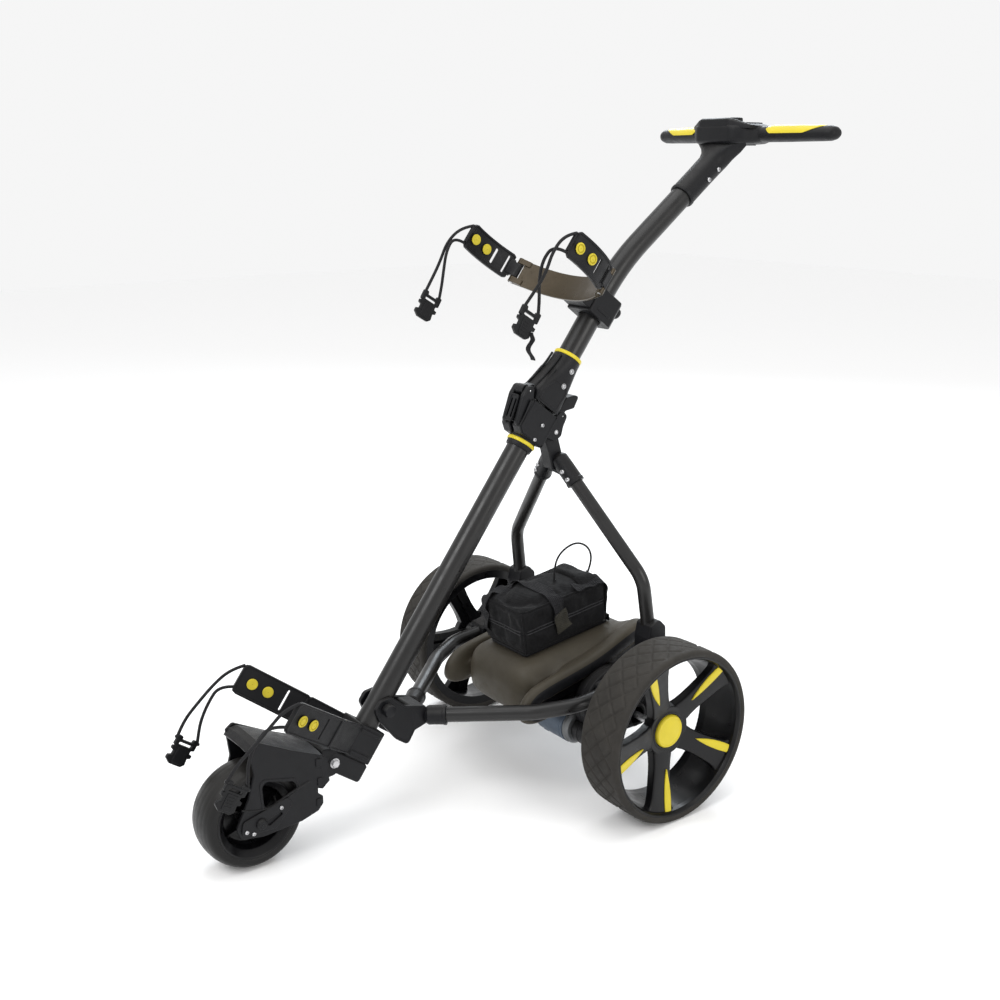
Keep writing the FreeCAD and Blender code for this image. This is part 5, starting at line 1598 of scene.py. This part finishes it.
def handle():
    """The T handle: neck, pod, both grips with their inlays, console, dial and button."""
    shares = [k / 60 for k in range(55)] + [0.92, 0.94, 0.955, 0.97, 0.98, 0.99, 0.996, 1.0]
    grip = loft([grip_ring(s) for s in shares])
    collar = [grip_ring(0.12, g) for g in (0.0, 1.2, 1.2, 0.0)]
    for ring, dx in zip(collar, (0, 0.6, 3.2, 3.8)):
        ring[:] = [(x + dx, y, z) for x, y, z in ring]
    grip.add(loft(collar, caps=False))
    whole = both(grip)
    rings = []
    for x, y0, y1, z0, z1, power in ((-72, 366, 394, 1058, 1080, 2.2), (-66, 358, 400, 1055, 1083, 2.6),
                                     (-58, 343, 410, 1053, 1085.4, 3.4), (-48, 330, 417, 1052.2, 1087, 4.5),
                                     (-34, 323.4, 420, 1052, 1087.6, 6), (34, 323.4, 420, 1052, 1087.6, 6),
                                     (48, 330, 417, 1052.2, 1087, 4.5), (58, 343, 410, 1053, 1085.4, 3.4),
                                     (66, 358, 400, 1055, 1083, 2.6), (72, 366, 394, 1058, 1080, 2.2)):
        rings.append([(x, (y0 + y1) / 2 + (y1 - y0) / 2 * u, (z0 + z1) / 2 + (z1 - z0) / 2 * v)
                      for u, v in squircle(power, 72)])
    whole.add(loft(rings))
    visor = [(324, 1078, 3), (325, 1094, 3.5), (331, 1096.5, 4), (338, 1094, 8), (352, 1084, 6),
             (352, 1078, 2)]
    sections = []
    for x, rise in ((-66, 0.05), (-52, 0.45), (-38, 0.85), (-30, 1), (30, 1), (38, 0.85), (52, 0.45),
                    (66, 0.05)):
        back = 22 * (1 - rise)
        sections.append([(x, y + back, 1078 + (z - 1078) * (0.3 + 0.7 * rise))
                         for y, z in rounded(visor, 3, 4)])
    whole.add(loft(sections))
    lip = plate([oblong(-48, 48, 340, 400, 6, 5),
                 oblong(-45.8, 45.8, 342.2, 397.8, 5, 5)], 1086, 1088.6, 0.6)
    whole.add(lip)
    for y in (345, 358, 371, 384):
        for x in (-30, 30):
            whole.add(side_plate([(y, 1050.5), (y + 6, 1050.5), (y + 6, 1056), (y, 1056)], x - 12, x + 12,
                                 1.5, 0.8))
    rings = []
    for up, wide, deep, rise in ((0, 19.4, 19.4, 0), (0, 21.6, 21.6, 0), (2, 22.8, 22.8, 0),
                                 (6, 22.8, 22.8, 0), (7, 22, 22, 0), (60, 22, 22, 0), (84, 22.6, 22, 0),
                                 (98, 26, 21, 2), (110, 34, 18, 6), (120, 46, 14, 9), (128, 56, 10, 13)):
        power = 2 + 2.2 * smooth_step((up - 80) / 48)
        rings.append([(wide * u, deep * v - rise, up) for u, v in squircle(power, 48)])
    neck = loft(rings)
    whole.add(neck, AXLE.inverted() @ NECK)
    moulded("handle_casting", whole, AXLE, "folding_frame", ["handle_body"])

    inlay = []
    shares = [0.27 + 0.6 * k / 40 for k in range(41)]
    for k, s in enumerate(shares):
        t = k / 40
        reach = 58 * min(1, (1 - t) * 3.2) ** 0.7 * min(1, 0.55 + t * 5)
        start, end = 74 - reach * 1.2, 96 + reach * 0.75
        grow = 1.0 * min(1, t * 14, (1 - t) * 14)
        outer = grip_ring(s, 0.15 + grow, start, end, 18)
        inner = grip_ring(s, -0.6, start, end, 18)
        inlay.append(outer + inner[::-1])
    sided("grip_inlay", loft(inlay), AXLE, "folding_frame", "yellow_trim", ["grip_inserts"], sharp=45)

    panel = plate([oblong(-45.4, 45.4, 342.6, 397.4, 5, 6)], 1080, 1089, 1.4, 3)
    panel.add(plate([circle(0, 380, 15.6, 48), circle(0, 380, 14, 48)], 1088.4, 1089.8, 0.4))
    panel.add(plate([circle(-30, 380, 8, 36), circle(-30, 380, 6.4, 36)], 1088.4, 1089.8, 0.4))
    moulded("console_top", panel, AXLE, "folding_frame", ["console_panel"])
    glass = plate([oblong(-34, 34, 347, 360, 2.5, 5)], 1088.6, 1089.5, 0.3)
    made("console_window", glass, AXLE, "folding_frame", "black_plastic", look="glass")
    dial = []
    for up, radius, teeth in ((1089.7, 12.4, 0), (1090.4, 13, 0), (1091.4, 12.8, 1), (1096.2, 12.5, 1),
                              (1097.4, 11.6, 0), (1098, 10, 0), (1097.6, 8.6, 0), (1097.4, 0.4, 0)):
        ring = []
        for k in range(168):
            a = 2 * math.pi * k / 168
            r = radius - teeth * 0.45 * (0.5 + 0.5 * math.cos(28 * a))
            ring.append((r * math.cos(a), 380 + r * math.sin(a), up))
        dial.append(ring)
    moulded("speed_dial_cap", loft(dial), AXLE, "dial", ["speed_dial"])
    mark = plate([oblong(-0.8, 0.8, 372, 378, 0.5, 3)], 1097.2, 1097.9, 0.2)
    made("speed_dial_mark", mark, AXLE, "dial", "yellow_trim")
    cap = lathe([(1079, 0.3), (1079, 5.4), (1090.4, 5.4), (1091.2, 4.6), (1091.5, 2.5), (1091.3, 0.3)], 40)
    made("power_button_cap", Shape().add(cap, shifted(-30, 380, 0) @ UPRIGHT), AXLE, "button", "steel",
         ["power_button"], look="yellow_trim")


# ---------------------------------------------------------------- drive
MOTOR = AXLE @ shifted(0, -44.5, 100.4)


def drive():
    """The motor can with its vents and seam, its end bell, and the ribbed gearbox."""
    can = rounded([(22, 0.5, 0), (22, 8, 1), (24, 9, 1), (23, 26, 2), (26, 30.6, 4), (34, 31, 1),
                   (34.6, 30.4, 0.3), (35.4, 30.4, 0.3), (36, 31, 0.3), (88, 31, 0.3), (88.6, 30.2, 0.3),
                   (90, 30.2, 0.3), (90.4, 31, 0.3), (96, 31, 0.6), (96, 28.2, 0), (60, 28.2, 0)], 0.5, 3)
    shape = lathe(can, 96)
    for k in range(8):
        vent = swept([Vector((x, 30.9 * math.sin(math.radians(45 * k)),
                              30.9 * math.cos(math.radians(45 * k)))) for x in (40, 46, 52)], 1.1, 8)
        shape.add(vent)
    made("motor_shell", shape, MOTOR, "chassis", "motor_paint", ["motor_can"])
    bell = rounded([(90, 27.8, 0), (96.2, 28, 0.3), (96.2, 30, 0.8), (103, 30, 1), (107.8, 26, 2),
                    (107.8, 8, 1)], 0.8, 3)
    shape = lathe(bell, 96)
    for k in range(4):
        shape.add(screw_head(2.6, 2), turned("X", 45 + 90 * k) @ shifted(105.8, 0, 22))
    made("motor_end_cap", shape, MOTOR, "chassis", "motor_paint", ["motor_end_bell"], look="cast_metal")
    case = Shape()
    for y, z, radius in ((0, 145, 61), (-44.5, 100.4, 22)):
        profile = rounded([(108, 7, 0.5), (108, radius - 8, 2), (109.5, radius - 3, 2), (112, radius, 2),
                           (124, radius, 0.5), (124.3, radius + 0.8, 0.3), (125.7, radius + 0.8, 0.3),
                           (126, radius, 0.5), (138, radius, 2), (140.5, radius - 3, 2),
                           (142, radius - 8, 2), (142, 7, 0.5)], 1, 3)
        case.add(lathe(profile, 96), shifted(0, y, z))
    for k in range(10):
        a = math.radians(36 * k)
        rib = [Vector((x, math.sin(a) * r, 145 + math.cos(a) * r)) for x, r in ((142.2, 16), (142.2, 50))]
        case.add(swept(rib, 1.6, 8))
    for k in range(6):
        case.add(screw_head(3, 2.2),
                 shifted(139.8, 0, 145) @ turned("X", 20 + 60 * k) @ shifted(0, 0, 56.5))
    moulded("gear_case", case, AXLE, "chassis", ["gearbox"])


def dress():
    """Gives each CAD piece that still shows the finish of its own material slot."""
    slots = {part["node"]: part["material_slot"] for part in frame["record"]["subparts"]}
    for name, obj in frame["nodes"].items():
        obj.data.materials.clear()
        obj.data.materials.append(LOOK[slots[name]])


knuckle()
leg_yoke()
carriers()
bracket()
screws()
handle()
drive()
dress()
